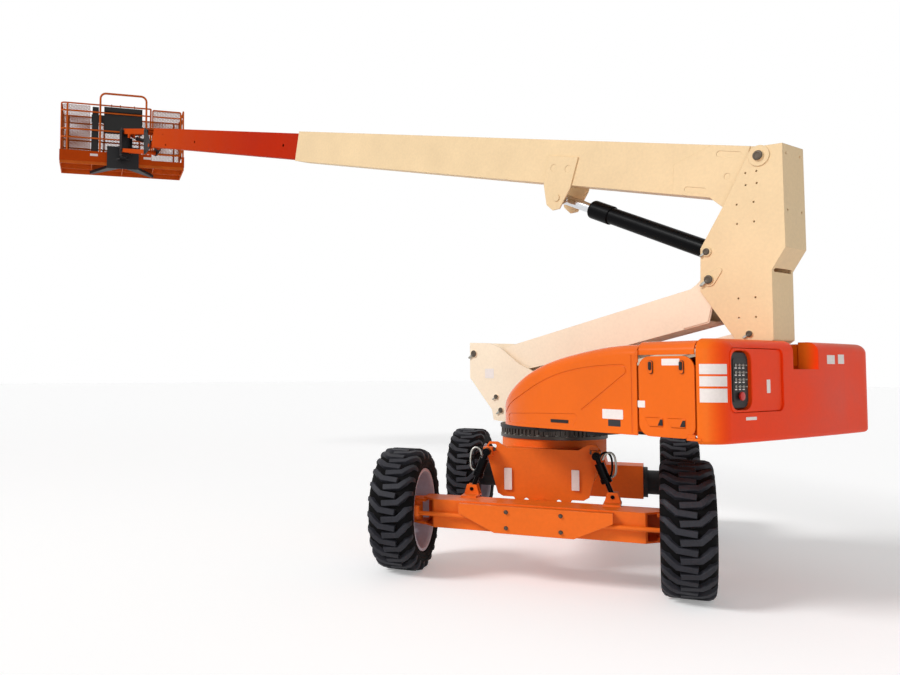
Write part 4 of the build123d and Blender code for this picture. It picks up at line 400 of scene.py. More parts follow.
@dataclass
class Shape:
    """Collects the faces of one piece, in metres."""

    points: list[Vector] = field(default_factory=list)
    faces: list[list[int]] = field(default_factory=list)
    marks: list[int] = field(default_factory=list)

    def rings(self, stack: list[list[Vector]], closed: bool = False, mark: int = 0) -> None:
        """Skins a stack of equal rings.

        Args:
            stack: the rings, each a list of points in metres.
            closed: True joins the last ring to the first, False caps both ends.
            mark: the material number of these faces.
        """
        base, size = len(self.points), len(stack[0])
        for ring in stack:
            self.points.extend(ring)
        pairs = [(i, i + 1) for i in range(len(stack) - 1)]
        if closed:
            pairs.append((len(stack) - 1, 0))
        for low, high in pairs:
            for k in range(size):
                n = (k + 1) % size
                self.faces.append([base + low * size + k, base + low * size + n,
                                   base + high * size + n, base + high * size + k])
        if not closed:
            self.faces.append([base + k for k in reversed(range(size))])
            self.faces.append([base + (len(stack) - 1) * size + k for k in range(size)])
        self.marks += [mark] * (len(self.faces) - len(self.marks))

    def prism(self, axes: Axes, outline: Outline, low: float, high: float,
              mark: int = 0) -> None:
        """Adds an outline in the first two axes, raised from low to high on the third."""
        self.rings([[axes.at(u, v, w) for u, v in outline] for w in (low, high)], mark=mark)

    def lathe(self, axes: Axes, profile: Outline, sides: int = 24,
              closed: bool = False, mark: int = 0) -> None:
        """Turns a profile about the third axis.

        Args:
            axes: the piece's frame.
            profile: pairs of radius and height.
            sides: the number of steps round.
            closed: True where the profile runs back to its start, as in a ring.
            mark: the material number.
        """
        angles = [2 * math.pi * k / sides for k in range(sides)]
        self.rings([[axes.at(r * math.cos(a), r * math.sin(a), w) for a in angles]
                    for r, w in profile], closed, mark)

    def tube(self, axes: Axes, path: list[Spot], radius: float,
             sides: int = 8, mark: int = 0) -> None:
        """Sweeps a round section along a path.

        Args:
            axes: the frame that the path is given in.
            path: its points.
            radius: the section's radius.
            sides: the number of its corners.
            mark: the material number.
        """
        points = [axes.at(*p) for p in path]
        angles = [2 * math.pi * k / sides for k in range(sides)]
        stack = []
        up = Vector((0.13, 0.31, 0.94))     # any direction that no path runs in
        for i, point in enumerate(points):
            run = (points[min(i + 1, len(points) - 1)] - points[max(i - 1, 0)]).normalized()
            side = run.cross(up).normalized()
            up = side.cross(run)
            stack.append([point + (side * math.cos(a) + up * math.sin(a)) * radius * MM
                          for a in angles])
        self.rings(stack, mark=mark)

    def bolt(self, axes: Axes, across: float, mark: int = 0) -> None:
        """Adds a hexagon bolt head on a washer.

        Args:
            axes: a frame whose first two axes lie in the face that it stands on.
            across: its width across flats.
            mark: the material number.
        """
        washer, flat = across * 0.66, across / 2
        self.lathe(axes, [(washer, -0.5), (washer, 1.6), (washer - 1, 2.4)], 16, mark=mark)
        self.lathe(axes, [(flat * 1.12, 2), (flat * 1.155, 3), (flat * 1.155, across * 0.5),
                          (flat * 0.95, across * 0.62)], 6, mark=mark)


def rounded(width: float, height: float, radius: float,
            steps: int = 4) -> Outline:
    """Draws a centred rectangle with round corners.

    Args:
        width: its size along the first axis.
        height: its size along the second.
        radius: the corners' radius.
        steps: the number of steps round each corner.

    Returns:
        The outline's points.
    """
    outline = []
    for corner, (sx, sy) in enumerate(((1, 1), (-1, 1), (-1, -1), (1, -1))):
        for k in range(steps + 1):
            angle = math.pi / 2 * (corner + k / steps)
            outline.append((sx * (width / 2 - radius) + radius * math.cos(angle),
                            sy * (height / 2 - radius) + radius * math.sin(angle)))
    return outline


def placed(name: str, data: bpy.types.ID) -> bpy.types.Object:
    """Makes an object of its data and puts it in the scene.

    Args:
        name: the object's name.
        data: its mesh, lamp or camera.

    Returns:
        The object.
    """
    made = bpy.data.objects.new(name, data)
    bpy.context.scene.collection.objects.link(made)
    return made


@dataclass
class Piece:
    """One added piece: its mesh, finish, body and slot."""

    name: str
    shape: Shape
    body: str
    slot: Slot
    finishes: list[Finish]
    bevel_mm: float = 0.0
    bevel_steps: int = 1
    smooth_deg: float = 35.0
    replaces: tuple[str, ...] = ()

    def make(self) -> bpy.types.Object:
        """Makes the Blender object and hangs it on its body's empty.

        Returns:
            The new object, riding on its body.
        """
        mesh = bpy.data.meshes.new(self.name)
        mesh.from_pydata([tuple(p) for p in self.shape.points], [], self.shape.faces)
        for face, mark in zip(mesh.polygons, self.shape.marks):
            face.material_index = mark
        work = bmesh.new()
        work.from_mesh(mesh)
        bmesh.ops.recalc_face_normals(work, faces=work.faces)
        work.to_mesh(mesh)
        work.free()
        piece = placed(self.name, mesh)
        for finish in self.finishes:
            mesh.materials.append(SHOP.get(finish))
        mesh.polygons.foreach_set("use_smooth", [True] * len(mesh.polygons))
        mesh.set_sharp_from_angle(angle=math.radians(self.smooth_deg))
        if self.bevel_mm:
            edge = piece.modifiers.new("edges", "BEVEL")
            edge.width = self.bevel_mm * MM
            edge.segments = self.bevel_steps
            edge.limit_method = "ANGLE"
            edge.angle_limit = math.radians(BEVEL_FROM_DEG)
        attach(piece, self.body)
        if self.replaces:
            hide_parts(*self.replaces)
        log.info("%s: %d faces on %s", self.name, len(mesh.polygons), self.body)
        return piece


# ---- tyres

@dataclass
class Tyre:
    """A foam-filled lug tyre: carcass, bead rings and two staggered rows of hooked lugs."""

    corner: str
    radius: float = 480.0
    floor_radius: float = 449.0     # between the lugs
    half_width: float = 177.4
    bead_radius: float = 311.0
    lugs: int = 24
    lug_half: float = 21.0
    lug_flare: float = 6.0          # by which a lug's foot is wider to each side
    shoulder_lugs: int = 3          # stations that lie on the shoulder
    shoulder_share: float = 0.35    # of the lug's width that runs across there
    sides: int = 96

    @property
    def node(self) -> str:
        """Returns the CAD node that it stands for."""
        return f"tyre_{self.corner}"

    def profile(self) -> Outline:
        """Returns the closed section of the carcass: radius and distance across."""
        half = [(self.floor_radius, 0), (self.floor_radius, 104), (444, 140), (432, 158),
                (416, 170), (398, 175.5), (389, 175.5), (386, 172.5), (376, 172.5), (373, 174.5),
                (360, 173), (344, 166), (338, 167), (334, 162), (330, 156), (326, 142),
                (318, 139), (self.bead_radius, 137)]
        return half + [(r, -w) for r, w in reversed(half[1:])]

    def lug_stations(self) -> list[tuple[float, float, float, float, float]]:
        """Returns the lug's stations from shoulder to middle: top across and radius, base
        across and radius, distance round the tread."""
        return [(-176.6, 404, -166, 398, 27), (-177.2, 424, -160, 416, 20),
                (-172, 447, -146, 430, 12), (-157, 468, -132, 440, 4),
                (-120, 479, -112, 444, -30), (-71, self.radius, -71, 446, -70),
                (-8, self.radius, -8, 446, -77), (52, self.radius, 54, 446, -84)]

    def shoulder(self, radius: float) -> float:
        """Finds how far from the middle the rubber goes.

        Args:
            radius: distance from the axle.

        Returns:
            The half width at that radius.
        """
        edge = [(self.radius, 120), (470, 152), (442, 172), (398, self.half_width)]
        for (outer, narrow), (inner, wide) in zip(edge, edge[1:]):
            if radius >= inner:
                return narrow + (wide - narrow) * min((outer - radius) / (outer - inner), 1.0)
        return self.half_width

    def make(self) -> None:
        """Builds the tyre in place of its CAD node."""
        low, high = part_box(self.node)
        centre = (low + high) / 2 / MM
        axle = Axes(centre, Vector((0, 0, 1)), -CHASSIS.x, CHASSIS.y)
        shape = Shape()
        shape.lathe(axle, self.profile(), self.sides, closed=True)
        pitch = 2 * math.pi / self.lugs
        for side in (-1, 1):
            for k in range(self.lugs):
                start = pitch * (k + (0.5 if side > 0 else 0)) - math.pi / 2
                # the lugs take the paler rubber: scuffing and dust, and a painted highlight of their lit tops
                shape.rings(self.lug(axle, side, start), mark=1)
        Piece(f"lug_{self.node}", shape, f"wheel_{self.corner}", Slot.TYRE_BLACK,
              [Slot.TYRE_BLACK.value, LUG_RUBBER_SCUFF_AND_HIGHLIGHT], 3.0, 1, 40, (self.node,)).make()

    def lug(self, axle: Axes, side: int, start: float) -> list[list[Vector]]:
        """Builds one hooked lug.

        Args:
            axle: the wheel's frame, its third axis along the axle.
            side: 1 or -1, the shoulder that it starts from.
            start: the angle of its zero distance.

        Returns:
            Its rings of four points.
        """
        stations, stack = self.lug_stations(), []
        for i, (top_w, top_r, base_w, base_r, s) in enumerate(stations):
            before, after = stations[max(i - 1, 0)], stations[min(i + 1, len(stations) - 1)]
            run = Vector((after[0] - before[0], after[4] - before[4]))
            if i < 2:
                run = Vector((stations[3][0] - stations[1][0], stations[3][4] - stations[1][4]))
            across = Vector((-run.y, run.x)).normalized()
            share = self.shoulder_share if i < self.shoulder_lugs else 1.0
            ring = []
            for w, r, half in ((base_w, base_r, self.lug_half + self.lug_flare),
                               (top_w, top_r, self.lug_half)):
                pair = []
                for sign in (-1, 1):
                    out = side * -(w + across.x * half * sign * share)
                    angle = start + (s + across.y * half * sign) / self.radius
                    limit = self.shoulder(r)
                    pair.append(axle.at(r * math.cos(angle), r * math.sin(angle),
                                        max(-limit, min(limit, out))))
                ring += pair if not ring else pair[::-1]
            stack.append(ring)
        return stack


# ---- small fittings

@dataclass
class Fittings:
    """A set of small fittings that share a body."""

    body: str
    prefix: str
    usual: Slot
    corner_share: float = 0.09      # a film's corner radius as a share of its short side
    far: float = 4000.0             # where the rays that look for a curved face start

    def put(self, name: str, shape: Shape, *finishes: Finish, slot: Slot | None = None,
            **more: float) -> None:
        """Makes one piece on the body, in its own slot or the usual one."""
        Piece(f"{self.prefix}_{name}", shape, self.body, slot or self.usual, list(finishes),
              **more).make()

    def plate(self, name: str, axes: Axes, centre: Pair, size: Pair,
              finish: Finish = WHITE_PLATE, slot: Slot | None = None, thick: float = 1.2) -> None:
        """Puts a blank film or plate on a face.

        Args:
            name: what it is.
            axes: a frame whose first two axes lie in the face.
            centre: its middle on the face.
            size: its width and height.
            finish: what it is made of.
            slot: the record's slot, where it isn't the usual one.
            thick: how far it stands out.
        """
        shape = Shape()
        outline = [(centre[0] + u, centre[1] + v) for u, v in
                   rounded(size[0], size[1], min(size) * self.corner_share)]
        shape.prism(axes, outline, 0.2, thick)
        self.put(name, shape, finish, slot=slot)

    def film(self, name: str, node: str, axes: Axes, centre: Pair, size: Pair,
             steps: int = 14) -> None:
        """Lays a thin blank film over a curved CAD face.

        Args:
            name: what it is.
            node: the CAD node that it lies on.
            axes: a frame that looks at the face, third axis toward the eye.
            centre: its middle in the first two axes.
            size: its width and height.
            steps: the number of strips across.
        """
        mesh = frame["nodes"][node].data
        tree = BVHTree.FromPolygons([v.co for v in mesh.vertices],
                                    [p.vertices[:] for p in mesh.polygons])
        stack = []
        for k in range(steps + 1):
            u = centre[0] + size[0] * (k / steps - 0.5)
            ring = []
            for v, lift in ((-0.5, 0.3), (-0.5, 1.6), (0.5, 1.6), (0.5, 0.3)):
                start = axes.at(u, centre[1] + v * size[1], self.far)
                hit, normal = tree.ray_cast(start, -axes.z)[:2]
                if hit is None:
                    log.warning("%s misses %s", name, node)
                    return
                ring.append(hit + normal * lift * MM)
            stack.append(ring)
        shape = Shape()
        shape.rings(stack)
        self.put(name, shape, WHITE_PLATE)

    def bolts(self, name: str, places: list[Axes], across: float, finish: Finish = ZINC) -> None:
        """Puts one bolt head on each place.

        Args:
            name: what they hold.
            places: a frame on the face for each bolt.
            across: their width across flats.
            finish: what they are made of.
        """
        shape = Shape()
        for axes in places:
            shape.bolt(axes, across)
        self.put(name, shape, finish, slot=Slot.BEARING_STEEL, smooth_deg=25)

    def cap(self, name: str, axes: Axes, radius: float, keeper: float,
            lean_deg: float = 30) -> None:
        """Puts a pin's end cap with its keeper bar and bolt on a face.

        Args:
            name: the pin.
            axes: a frame on the pin's end, third axis outward.
            radius: the pin's radius.
            keeper: the keeper bar's length.
            lean_deg: the bar's angle.
        """
        shape = Shape()
        shape.lathe(axes, [(radius * 0.96, -1), (radius, 2), (radius * 0.93, 7),
                           (radius * 0.6, 8), (radius * 0.55, 5.5), (6, 5)], 32)
        self.put(f"{name}_cap", shape, PIN_STEEL, slot=Slot.BEARING_STEEL)
        if keeper:
            lean = math.radians(lean_deg)
            bar = Axes(axes.origin, axes.x * math.cos(lean) + axes.y * math.sin(lean),
                       axes.y * math.cos(lean) - axes.x * math.sin(lean), axes.z)
            shape = Shape()
            outline = [(u + radius * 0.5 + keeper / 2, v) for u, v in
                       rounded(keeper, radius * 0.62, radius * 0.28)]
            shape.prism(bar, outline, 0.3, 6)
            shape.bolt(bar.moved(radius * 0.5 + keeper - radius * 0.3, 0, 6), radius * 0.34)
            self.put(f"{name}_keeper", shape, ZINC, slot=Slot.BEARING_STEEL)


# ---- chassis

@dataclass
class Chassis:
    """Bolts, blank plates, the bearing's bolt ring and the lockout cylinders' pipes."""

    face_x: float = 775.0           # front faces of the frame's two ears
    guard_x: float = 1299.0
    guard_bolts: tuple[Pair, ...] = ((-195, 537), (195, 537), (-195, 420), (195, 420))
    ear_bolt: Pair = (377, 950)
    pivot: Spot = (500, 1213, 40)   # height, X and radius
    ring_bolts: int = 36
    ring_radius: float = 434.0
    ring_z: float = 1038.0
    pipe_radius: float = 8.0
    pipe_gap: float = 26.0

    def make(self) -> None:
        """Builds the chassis's fittings."""
        fit = Fittings("chassis", "chassis", Slot.BOX_BLACK)
        face = CHASSIS.facing("+x")
        ears = face.moved(0, 0, self.face_x)
        fit.plate("plate_right", ears, (-266, 717), (60, 174))
        fit.plate("plate_left", ears, (252, 732), (58, 160))
        guard = face.moved(0, 0, self.guard_x)
        fit.bolts("guard_bolts", [guard.moved(y, z, 0) for y, z in self.guard_bolts], 24, PIN_STEEL)
        y, z = self.ear_bolt
        fit.bolts("ear_bolts", [ears.moved(side * y, z, 0) for side, _ in SIDES], 26, PIN_STEEL)
        angles = [2 * math.pi * k / self.ring_bolts for k in range(self.ring_bolts)]
        fit.bolts("ring_bolts", [CHASSIS.moved(self.ring_radius * math.cos(a),
                                               self.ring_radius * math.sin(a), self.ring_z)
                                 for a in angles], 22)
        self.pipes()
        height, x, radius = self.pivot
        fit.cap("pivot", face.moved(0, height, x), radius, 0)

    def pipes(self) -> None:
        """Bends the rigid hydraulic pipes beside the lockout cylinders."""
        for side, label in SIDES:
            shape = Shape()
            for k, out in enumerate((0, self.pipe_gap)):
                path = [(852, side * (432 + out), 905), (840, side * (452 + out), 950),
                        (835, side * (492 + out), 962), (838, side * (520 + out), 930),
                        (846, side * (528 + out), 860), (852, side * (520 + out), 800),
                        (860, side * (500 + out * 0.4), 775)]
                shape.tube(CHASSIS, self.eased(path), self.pipe_radius, mark=k)
            Fittings("chassis", "lockout_pipes", Slot.CYLINDER_BLACK).put(
                label, shape, Slot.CYLINDER_BLACK.value, ZINC)

    def eased(self, path: list[Spot], steps: int = 5) -> list[Spot]:
        """Smooths a path through its points.

        Args:
            path: the points it passes.
            steps: the number of steps from one to the next.

        Returns:
            The points of the smooth path.
        """
        spots = [Vector(p) for p in path]
        smooth = []
        for i in range(len(spots) - 1):
            a, b = spots[max(i - 1, 0)], spots[i]
            c, d = spots[i + 1], spots[min(i + 2, len(spots) - 1)]
            for k in range(steps):
                t = k / steps
                smooth.append(tuple(0.5 * (2 * b + (c - a) * t + (2 * a - 5 * b + 4 * c - d) * t * t
                                           + (3 * b - a - 3 * c + d) * t ** 3)))
        smooth.append(tuple(spots[-1]))
        return smooth


# ---- turntable and hoods

@dataclass
class Turntable:
    """Latches, blank plates, the tail's films and the ground controls."""

    side_y: float = 1100.0
    surround_y: float = -615.0
    surround_size: Pair = (614, 394)
    surround_rise: float = 17.0         # how far it stands before the panel
    opening: Pair = (236, 366)
    corner: Pair = (2060, -1060)        # the tail's near corner, X and Y
    corner_films: tuple[Pair, ...] = ((1598, 62), (1524, 62), (1438, 84))
    # across, up, width, height
    rear_films: tuple[tuple[float, ...], ...] = ((360, 1668, 118, 62), (520, 1672, 96, 66),
                                                 (-700, 1292, 120, 20))
    latch_x: tuple[float, ...] = (1675, 1885)
    latch_z: float = 1610.0
    scoop_x: tuple[float, ...] = (1690, 1840)
    scoop_z: float = 1262.0
    switch_gap: float = 44.0

    def make(self) -> None:
        """Builds what the hoods, doors and tail carry."""
        for side, label in SIDES:
            flank = ROW.moved(0, side * self.side_y, 0).facing("-y" if side < 0 else "+y")
            self.hood(flank, -side, label)
            self.door(flank, -side, label)
        self.controls()
        self.tail()

    def tail(self) -> None:
        """Fits the panel's surround and the blank films on the tail."""
        fit = Fittings("turntable", "tail", Slot.TAIL_ORANGE)
        low, high = ROW.span("ground_controls")
        middle_y, middle_z = (low.y + high.y) / 2, (low.z + high.z) / 2
        face = ROW.facing("+x")
        shape = Shape()
        outer = [(u + self.surround_y, v + middle_z) for u, v in rounded(*self.surround_size, 46)]
        inner = [(u + middle_y, v + middle_z) for u, v in rounded(*self.opening, 68)]
        back, front = low.x + 1, high.x + self.surround_rise
        shape.rings([[face.at(u, v, w) for u, v in loop] for loop, w in
                     ((outer, back), (outer, front), (inner, front), (inner, back))], closed=True)
        fit.put("panel_surround", shape, Slot.TAIL_ORANGE.value, bevel_mm=7.0, bevel_steps=2)
        slanted = axes_at((0, 0, 0), (1, 1, 0), (0, 0, 1))
        along = Vector((*self.corner, 0)).dot(slanted.x) + 12
        for k, (z, height) in enumerate(self.corner_films):
            fit.film(f"film_{k}", "counterweight", slanted, (along, z), (165, height))
        for k, (y, z, width, height) in enumerate(self.rear_films):
            fit.film(f"rear_film_{k}", "counterweight", face, (y, z), (width, height))
        fit.plate("surround_film", face.moved(0, 0, front), (-478, 1490), (44, 86))

    def hood(self, flank: Axes, ahead: int, label: str) -> None:
        """Dresses one nose hood.

        Args:
            flank: a frame on the hood's side, third axis outward.
            ahead: 1 where the frame's first axis runs to the rear, -1 where to the front.
            label: the side's name.
        """
        fit = Fittings(f"nose_hood_{label}", f"nose_{label}", Slot.HOOD_ORANGE)
        fit.plate("plate", flank, (ahead * 1388, 1298), (158, 64))
        fit.plate("warning_blank", flank, (ahead * 1400, 1240), (94, 44), BLACK_PLATE)
        fit.plate("latch_pull", flank.moved(0, 0, -3), (ahead * 951, 1229), (150, 22),
                  Slot.BOX_BLACK.value, Slot.BOX_BLACK, 5)

    def door(self, flank: Axes, ahead: int, label: str) -> None:
        """Dresses one side door.

        Args:
            flank: a frame on the door, third axis outward.
            ahead: 1 where the frame's first axis runs to the rear, -1 where to the front.
            label: the side's name.
        """
        fit = Fittings(f"side_door_{label}", f"door_{label}", Slot.HOOD_ORANGE)
        black = Slot.BOX_BLACK.value
        fit.plate("plate", flank, (ahead * 1810, 1642), (121, 42))
        fit.plate("small_plate", flank, (ahead * 1603, 1373), (52, 44))
        for x in self.latch_x:
            latch = Shape()
            place = flank.moved(ahead * x, self.latch_z, 0)
            latch.prism(place, rounded(30, 84, 12), 0.3, 8)
            latch.prism(place.moved(0, 8, 0), rounded(20, 54, 9), 7, 19)
            fit.put(f"latch_{x}", latch, black, slot=Slot.BOX_BLACK, bevel_mm=2.0, bevel_steps=2)
        half, rise = 62, 27
        lid = ((half, rise), (-half, rise), (-half + 30, -rise), (half, -rise))
        grip = ((half + 1, rise - 8), (half - 16, rise - 8), (half - 34, -rise + 6),
                (half + 1, -rise + 6))
        for k, x in enumerate(self.scoop_x):
            scoop = Shape()
            place = flank.moved(ahead * x, self.scoop_z, 0)
            scoop.prism(place, [(ahead * u, v) for u, v in lid], 0.2, 5)
            scoop.prism(place, [(ahead * u, v) for u, v in grip], 4, 7, mark=1)
            fit.put(f"scoop_{k}", scoop, Slot.HOOD_ORANGE.value, black, bevel_mm=2.5,
                    bevel_steps=2)

    def controls(self) -> None:
        """Builds the ground control station's panel, switches and stop button."""
        low, high = ROW.span("ground_controls")
        face = ROW.moved(high.x, (low.y + high.y) / 2, (low.z + high.z) / 2).facing("+x")
        panel, switches, stop, legends = Shape(), Shape(), Shape(), Shape()
        panel.prism(face, rounded(150, 268, 16), -1, 4)
        for row in range(4):
            for column in range(3):
                spot = face.moved((column - 1) * self.switch_gap, 92 - row * self.switch_gap, 4)
                switches.lathe(spot, [(9, -1), (9, 4), (5, 6), (4, 22), (2, 24)], 12)
                legends.prism(spot, [(u, v - 17) for u, v in rounded(26, 7, 2)], 0.2, 0.9)
        stop.lathe(face.moved(0, -98, 4), [(12, -1), (12, 5), (26, 7), (28, 13), (26, 20),
                                           (12, 23), (2, 23)], 28)
        fit = Fittings("turntable", "ground", Slot.BOX_BLACK)
        for name, shape, finish in (("panel", panel, Slot.BOX_BLACK.value),
                                    ("switches", switches, ZINC), ("stop", stop, RED_ABS),
                                    ("legends", legends, WHITE_PLATE)):
            fit.put(name, shape, finish, bevel_mm=1.0)


# ---- booms

@dataclass
class Booms:
    """Pin caps with their keepers, and the blank plates on the booms' root."""

    root_y: float = 163.0
    lean_deg: Pair = (215, -35)         # keepers on the right and on the left
    caps: tuple[tuple[str, str, float, float, float, float, float], ...] = (
        # body, pin, x, z, face y, radius, keeper
        ("upright", "upper", 1903, 3073, 164, 34, 0),
        ("upright", "lower_tip", 1530, 2247, 158, 32, 60),
        ("upright", "upper_lift_root", 1516, 2452, 154, 25, 46),
        ("upright", "link_tip", 1810, 1845, 152, 22, 40),
        ("turntable", "lower_pin", -790, 1748, 175, 32, 60),
        ("turntable", "lift_root", -454, 1224, 175, 25, 50),
        ("turntable", "link_root", -510, 1346, 175, 22, 40))

    def make(self) -> None:
        """Builds the pin caps and plates on both sides."""
        for (side, label), lean in zip(SIDES, self.lean_deg):
            normal = "-y" if side < 0 else "+y"
            for body, pin, x, z, y, radius, keeper in self.caps:
                place = ROW.moved(x, side * y, z).facing(normal)
                fit = Fittings(body, f"{pin}_{label}", Slot.BEARING_STEEL)
                fit.cap("pin", place, radius, keeper, lean)
            root = ROW.moved(0, side * self.root_y, 0).facing(normal)
            fit = Fittings("turntable", f"root_{label}", Slot.BOOM_CREAM)
            fit.plate("plate", root, (side * 600, 1560), (110, 90))


# ---- platform

@dataclass
class Expanded:
    """Slit and stretched sheet, laid along a path round the platform.

    The diamonds have about their real size; the strands are wider than real ones, which
    would only show as a haze.
    """

    long_mm: float = 64.0
    short_mm: float = 28.0
    strand_mm: float = 8.5
    sheet_mm: float = 3.0

    def lay(self, shape: Shape, axes: Axes, corners: Outline, low: float, high: float,
            radius: float = 46.0) -> None:
        """Lays the sheet along a path in the first two axes, upright on the third.

        Args:
            shape: what collects it.
            axes: the platform's frame.
            corners: the path's corners.
            low: the sheet's foot.
            high: its top.
            radius: the bend at each inner corner.
        """
        path = self.bend([Vector(c) for c in corners], radius)
        lengths = [0.0]
        for a, b in zip(path, path[1:]):
            lengths.append(lengths[-1] + (b - a).length)
        steps = round(lengths[-1] / (self.long_mm / 2))
        rows = round((high - low) / (self.short_mm / 2))
        rise = (high - low) / rows
        spots = [self.spot(path, lengths, lengths[-1] * k / steps) for k in range(steps + 1)]
        for row in range(rows):
            stack = []
            for k, (point, out) in enumerate(spots):
                z = low + rise * (row + (k + row) % 2)
                z = max(low + self.strand_mm / 2, min(high - self.strand_mm / 2, z))
                ring = []
                for dn, dz in ((-1, -1), (1, -1), (1, 1), (-1, 1)):
                    side = point + out * dn * self.sheet_mm / 2
                    ring.append(axes.at(side.x, side.y, z + dz * self.strand_mm / 2))
                stack.append(ring)
            shape.rings(stack)

    def bend(self, corners: list[Vector], radius: float, steps: int = 6) -> list[Vector]:
        """Rounds the path's inner corners.

        Args:
            corners: the path's corners.
            radius: the bend's radius.
            steps: the number of steps of each bend.

        Returns:
            The path's points.
        """
        path = [corners[0]]
        for before, corner, after in zip(corners, corners[1:], corners[2:]):
            back, on = (before - corner).normalized(), (after - corner).normalized()
            centre = corner + (back + on) * radius
            for k in range(steps + 1):
                angle = math.pi / 2 * k / steps
                path.append(centre - (on * math.cos(angle) + back * math.sin(angle)) * radius)
        path.append(corners[-1])
        return path

    def spot(self, path: list[Vector], lengths: list[float], at: float) -> tuple[Vector, Vector]:
        """Finds a place on the path.

        Args:
            path: the path's points.
            lengths: how far along each point lies.
            at: the distance along it.

        Returns:
            The point and the path's normal there.
        """
        index = max(i for i in range(len(path) - 1) if lengths[i] <= at + 1e-6)
        run = path[index + 1] - path[index]
        share = (at - lengths[index]) / max(run.length, 1e-9)
        return path[index] + run * share, Vector((-run.y, run.x)).normalized()


@dataclass
class Platform:
    """The work platform's mesh, gate mesh, controls and blank plates."""

    mesh_from_y: float = 640.0
    mesh_end_x: float = 315.0
    mesh_inset: float = 2.0
    gate_inset: float = 26.0
    latch_room: float = 8.0             # more on the side of the gate's latch
    toe_films: tuple[Pair, ...] = ((-560, 5850), (480, 5850))
    stick_y: tuple[float, ...] = (-220, 60, 230)
    stop_y: float = -60.0
    brow_y: tuple[float, ...] = (-352, -330, -200, 0, 200, 330, 352)
    brow_size: Pair = (46, 20)          # half its height and half its depth
    brow_place: Pair = (62, 22)         # below the box's top and out from its face
    brow_end: float = 330.0             # beyond this it droops to its ends
    weave: Expanded = field(default_factory=Expanded)

    def make(self) -> None:
        """Builds the platform's pieces."""
        low, high = DECK.span("platform_mesh")
        inset = self.mesh_inset
        near, far, end = low.x + inset, high.x - inset, high.y - inset
        shape, bronze = Shape(), Slot.MESH_BRONZE.value
        self.weave.lay(shape, DECK, [(near, self.mesh_from_y), (near, end), (far, end),
                                     (far, -end), (self.mesh_end_x, -end)], low.z, high.z)
        Piece("expanded_mesh", shape, "platform", Slot.MESH_BRONZE, [bronze], smooth_deg=20,
              replaces=("platform_mesh",)).make()
        low, high = DECK.span("platform_gate")
        inset, middle, shape = self.gate_inset, (low.x + high.x) / 2, Shape()
        self.weave.lay(shape, DECK, [(middle, low.y + inset + self.latch_room),
                                     (middle, high.y - inset)], low.z + inset, high.z - inset)
        fit = Fittings("platform_gate", "gate", Slot.MESH_BRONZE)
        fit.put("mesh", shape, bronze, smooth_deg=20)
        toe_board = DECK.moved(DECK.span("toe_board")[0].x, 0, 0).facing("-x")
        fit = Fittings("platform", "toe_board", Slot.DECK_BRONZE)
        for k, place in enumerate(self.toe_films):
            fit.plate(f"film_{k}", toe_board, place, (150, 46))
        self.console()

    def console(self) -> None:
        """Builds the sticks, the stop button and the brow of the platform's control box."""
        low, high = DECK.span("platform_console")
        top = DECK.moved((low.x + high.x) / 2 + 20, 0, high.z)
        boots, sticks, stop, brow = Shape(), Shape(), Shape(), Shape()
        for y in self.stick_y:
            spot = top.moved(0, y, 0)
            boots.lathe(spot, [(34, -30), (34, 1), (26, 8), (28, 12), (20, 20), (21, 24),
                               (12, 32)], 20)
            sticks.lathe(spot, [(5, 28), (6, 52), (13, 60), (15, 74), (12, 86), (3, 90)], 16)
        stop.lathe(top.moved(0, self.stop_y, 0),
                   [(14, -20), (14, 10), (28, 12), (30, 20), (26, 28), (4, 31)], 24)
        arc = [math.radians(a) for a in range(-60, 241, 20)]
        (tall, deep), (below, out) = self.brow_size, self.brow_place
        front = DECK.moved(low.x - 2, 0, high.z - below).facing("-x")
        brow.rings([[front.at(y, tall * math.sin(a) - (deep if abs(y) > self.brow_end else 0),
                              out + deep * math.cos(a)) for a in arc] for y in self.brow_y])
        fit, box = Fittings("platform", "console", Slot.BOX_BLACK), Slot.BOX_BLACK.value
        fit.put("brow", brow, box, smooth_deg=60)
        for name, shape, finish in (("boots", boots, SEAL), ("sticks", sticks, box),
                                    ("stop", stop, RED_ABS)):
            fit.put(name, shape, finish)


# ---- studio

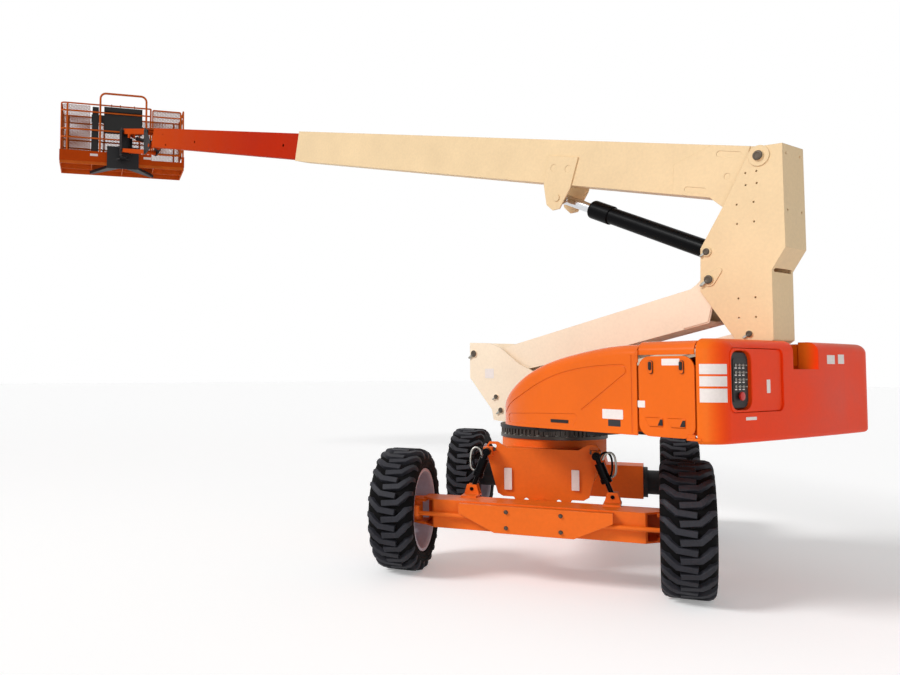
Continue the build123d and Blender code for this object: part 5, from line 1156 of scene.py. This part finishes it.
@dataclass
class Studio:
    """Floor, world, lamps and camera."""

    floor_half: float = 90.0
    floor_glow: float = 0.25
    key_from: Spot = (-0.2, -0.76, 0.62)
    key_strength: float = 1.78
    key_spread_deg: float = 18.0
    sky: float = 0.38
    camera_at: Spot = (4.742, -5.802, 1.584)
    camera_turn_deg: float = 55.84
    camera_pitch_deg: float = 2.84
    camera_roll_deg: float = 0.13
    lens_mm: float = 32.4
    shift: Pair = (0.154, -0.008)

    def make(self) -> None:
        """Sets the studio up."""
        self.floor()
        self.world()
        self.lamps()
        self.camera()
        bpy.context.scene.view_settings.view_transform = "Standard"

    def backdrop_share(self, tree: Tree) -> Socket:
        """Finds the rays that see the backdrop.

        Args:
            tree: the tree that gets the nodes.

        Returns:
            A socket of one for rays from the camera, a mirror or glass, and zero for others.
        """
        rays = add_node(tree, "LightPath").outputs
        either = add_node(tree, "Math", {"operation": "MAXIMUM"},
                          {0: rays["Is Camera Ray"], 1: rays["Is Glossy Ray"]})
        seen = add_node(tree, "Math", {"operation": "MAXIMUM"},
                        {0: either, 1: rays["Is Transmission Ray"]})
        return seen.outputs[0]

    def floor(self) -> None:
        """Lays the pale floor."""
        mesh = bpy.data.meshes.new("floor")
        h = self.floor_half
        mesh.from_pydata([(-h, -h, 0), (h, -h, 0), (h, h, 0), (-h, h, 0)], [], [(0, 1, 2, 3)])
        ground = placed("floor", mesh)
        material = bpy.data.materials.new("white_studio_floor_painted")
        material.use_nodes = True
        tree = material.node_tree
        shader = tree.nodes["Principled BSDF"]
        shader.inputs["Base Color"].default_value = linear("#F6F6F6")
        shader.inputs["Roughness"].default_value = 0.9
        shader.inputs["Emission Color"].default_value = (1, 1, 1, 1)
        glow = add_node(tree, "Math", {"operation": "MULTIPLY", 1: self.floor_glow},
                        {0: self.backdrop_share(tree)})
        tree.links.new(glow.outputs[0], shader.inputs["Emission Strength"])
        mesh.materials.append(material)

    def world(self) -> None:
        """Lights the scene evenly, with a white backdrop behind it."""
        world = bpy.data.worlds.new("studio")
        bpy.context.scene.world = world
        world.use_nodes = True
        tree = world.node_tree
        back = tree.nodes["Background"]
        back.inputs["Color"].default_value = (1, 1, 1, 1)
        level = add_node(tree, "MapRange", {"To Min": self.sky, "To Max": 1.0},
                         {"Value": self.backdrop_share(tree)})
        tree.links.new(level.outputs["Result"], back.inputs["Strength"])

    def lamp(self, name: str, kind: str, at: Spot,
             to: Spot, energy: float, size: float) -> None:
        """Hangs one lamp.

        Args:
            name: the lamp's name.
            kind: SUN or AREA.
            at: where it hangs.
            to: what it points at.
            energy: its strength or power.
            size: the sun's angle in radians, or the softbox's side in metres.
        """
        data = bpy.data.lights.new(name, kind)
        data.energy = energy
        if kind == "SUN":
            data.angle = size
        else:
            data.size = size
        lamp = placed(name, data)
        lamp.location = at
        lamp.rotation_euler = (Vector(to) - Vector(at)).to_track_quat("-Z", "Y").to_euler()

    def lamps(self) -> None:
        """Hangs the key light and two softboxes."""
        key = Vector(self.key_from) * 20
        self.lamp("key", "SUN", tuple(key), (0, 0, 0), self.key_strength,
                  math.radians(self.key_spread_deg))
        self.lamp("softbox_left", "AREA", (-3.5, -9.0, 6.5), (0.8, -1.0, 1.2), 45, 1.6)
        self.lamp("softbox_right", "AREA", (5.8, -4.0, 1.3), (2.1, -0.2, 1.4), 38, 1.6)

    def camera(self) -> None:
        """Places the camera at its real height and distance."""
        data = bpy.data.cameras.new("camera")
        data.lens = self.lens_mm
        data.sensor_width = 36
        data.shift_x, data.shift_y = self.shift
        data.clip_end = 500
        camera = placed("camera", data)
        turn = (Matrix.Rotation(math.radians(self.camera_turn_deg), 4, "Z")
                @ Matrix.Rotation(math.radians(90 + self.camera_pitch_deg), 4, "X")
                @ Matrix.Rotation(math.radians(self.camera_roll_deg), 4, "Z"))
        camera.matrix_world = Matrix.Translation(self.camera_at) @ turn
        bpy.context.scene.camera = camera


def main() -> None:
    """Builds the looks of the whole machine."""
    logging.basicConfig(level=logging.INFO, format="%(message)s")
    SHOP.paint_frame()
    Studio().make()
    for corner in ("steer_left", "steer_right", "drive_left", "drive_right"):
        Tyre(corner).make()
    for assembly in (Chassis(), Turntable(), Booms(), Platform()):
        assembly.make()
        log.info("%s done", type(assembly).__name__)


if __name__ == "__main__":
    main()
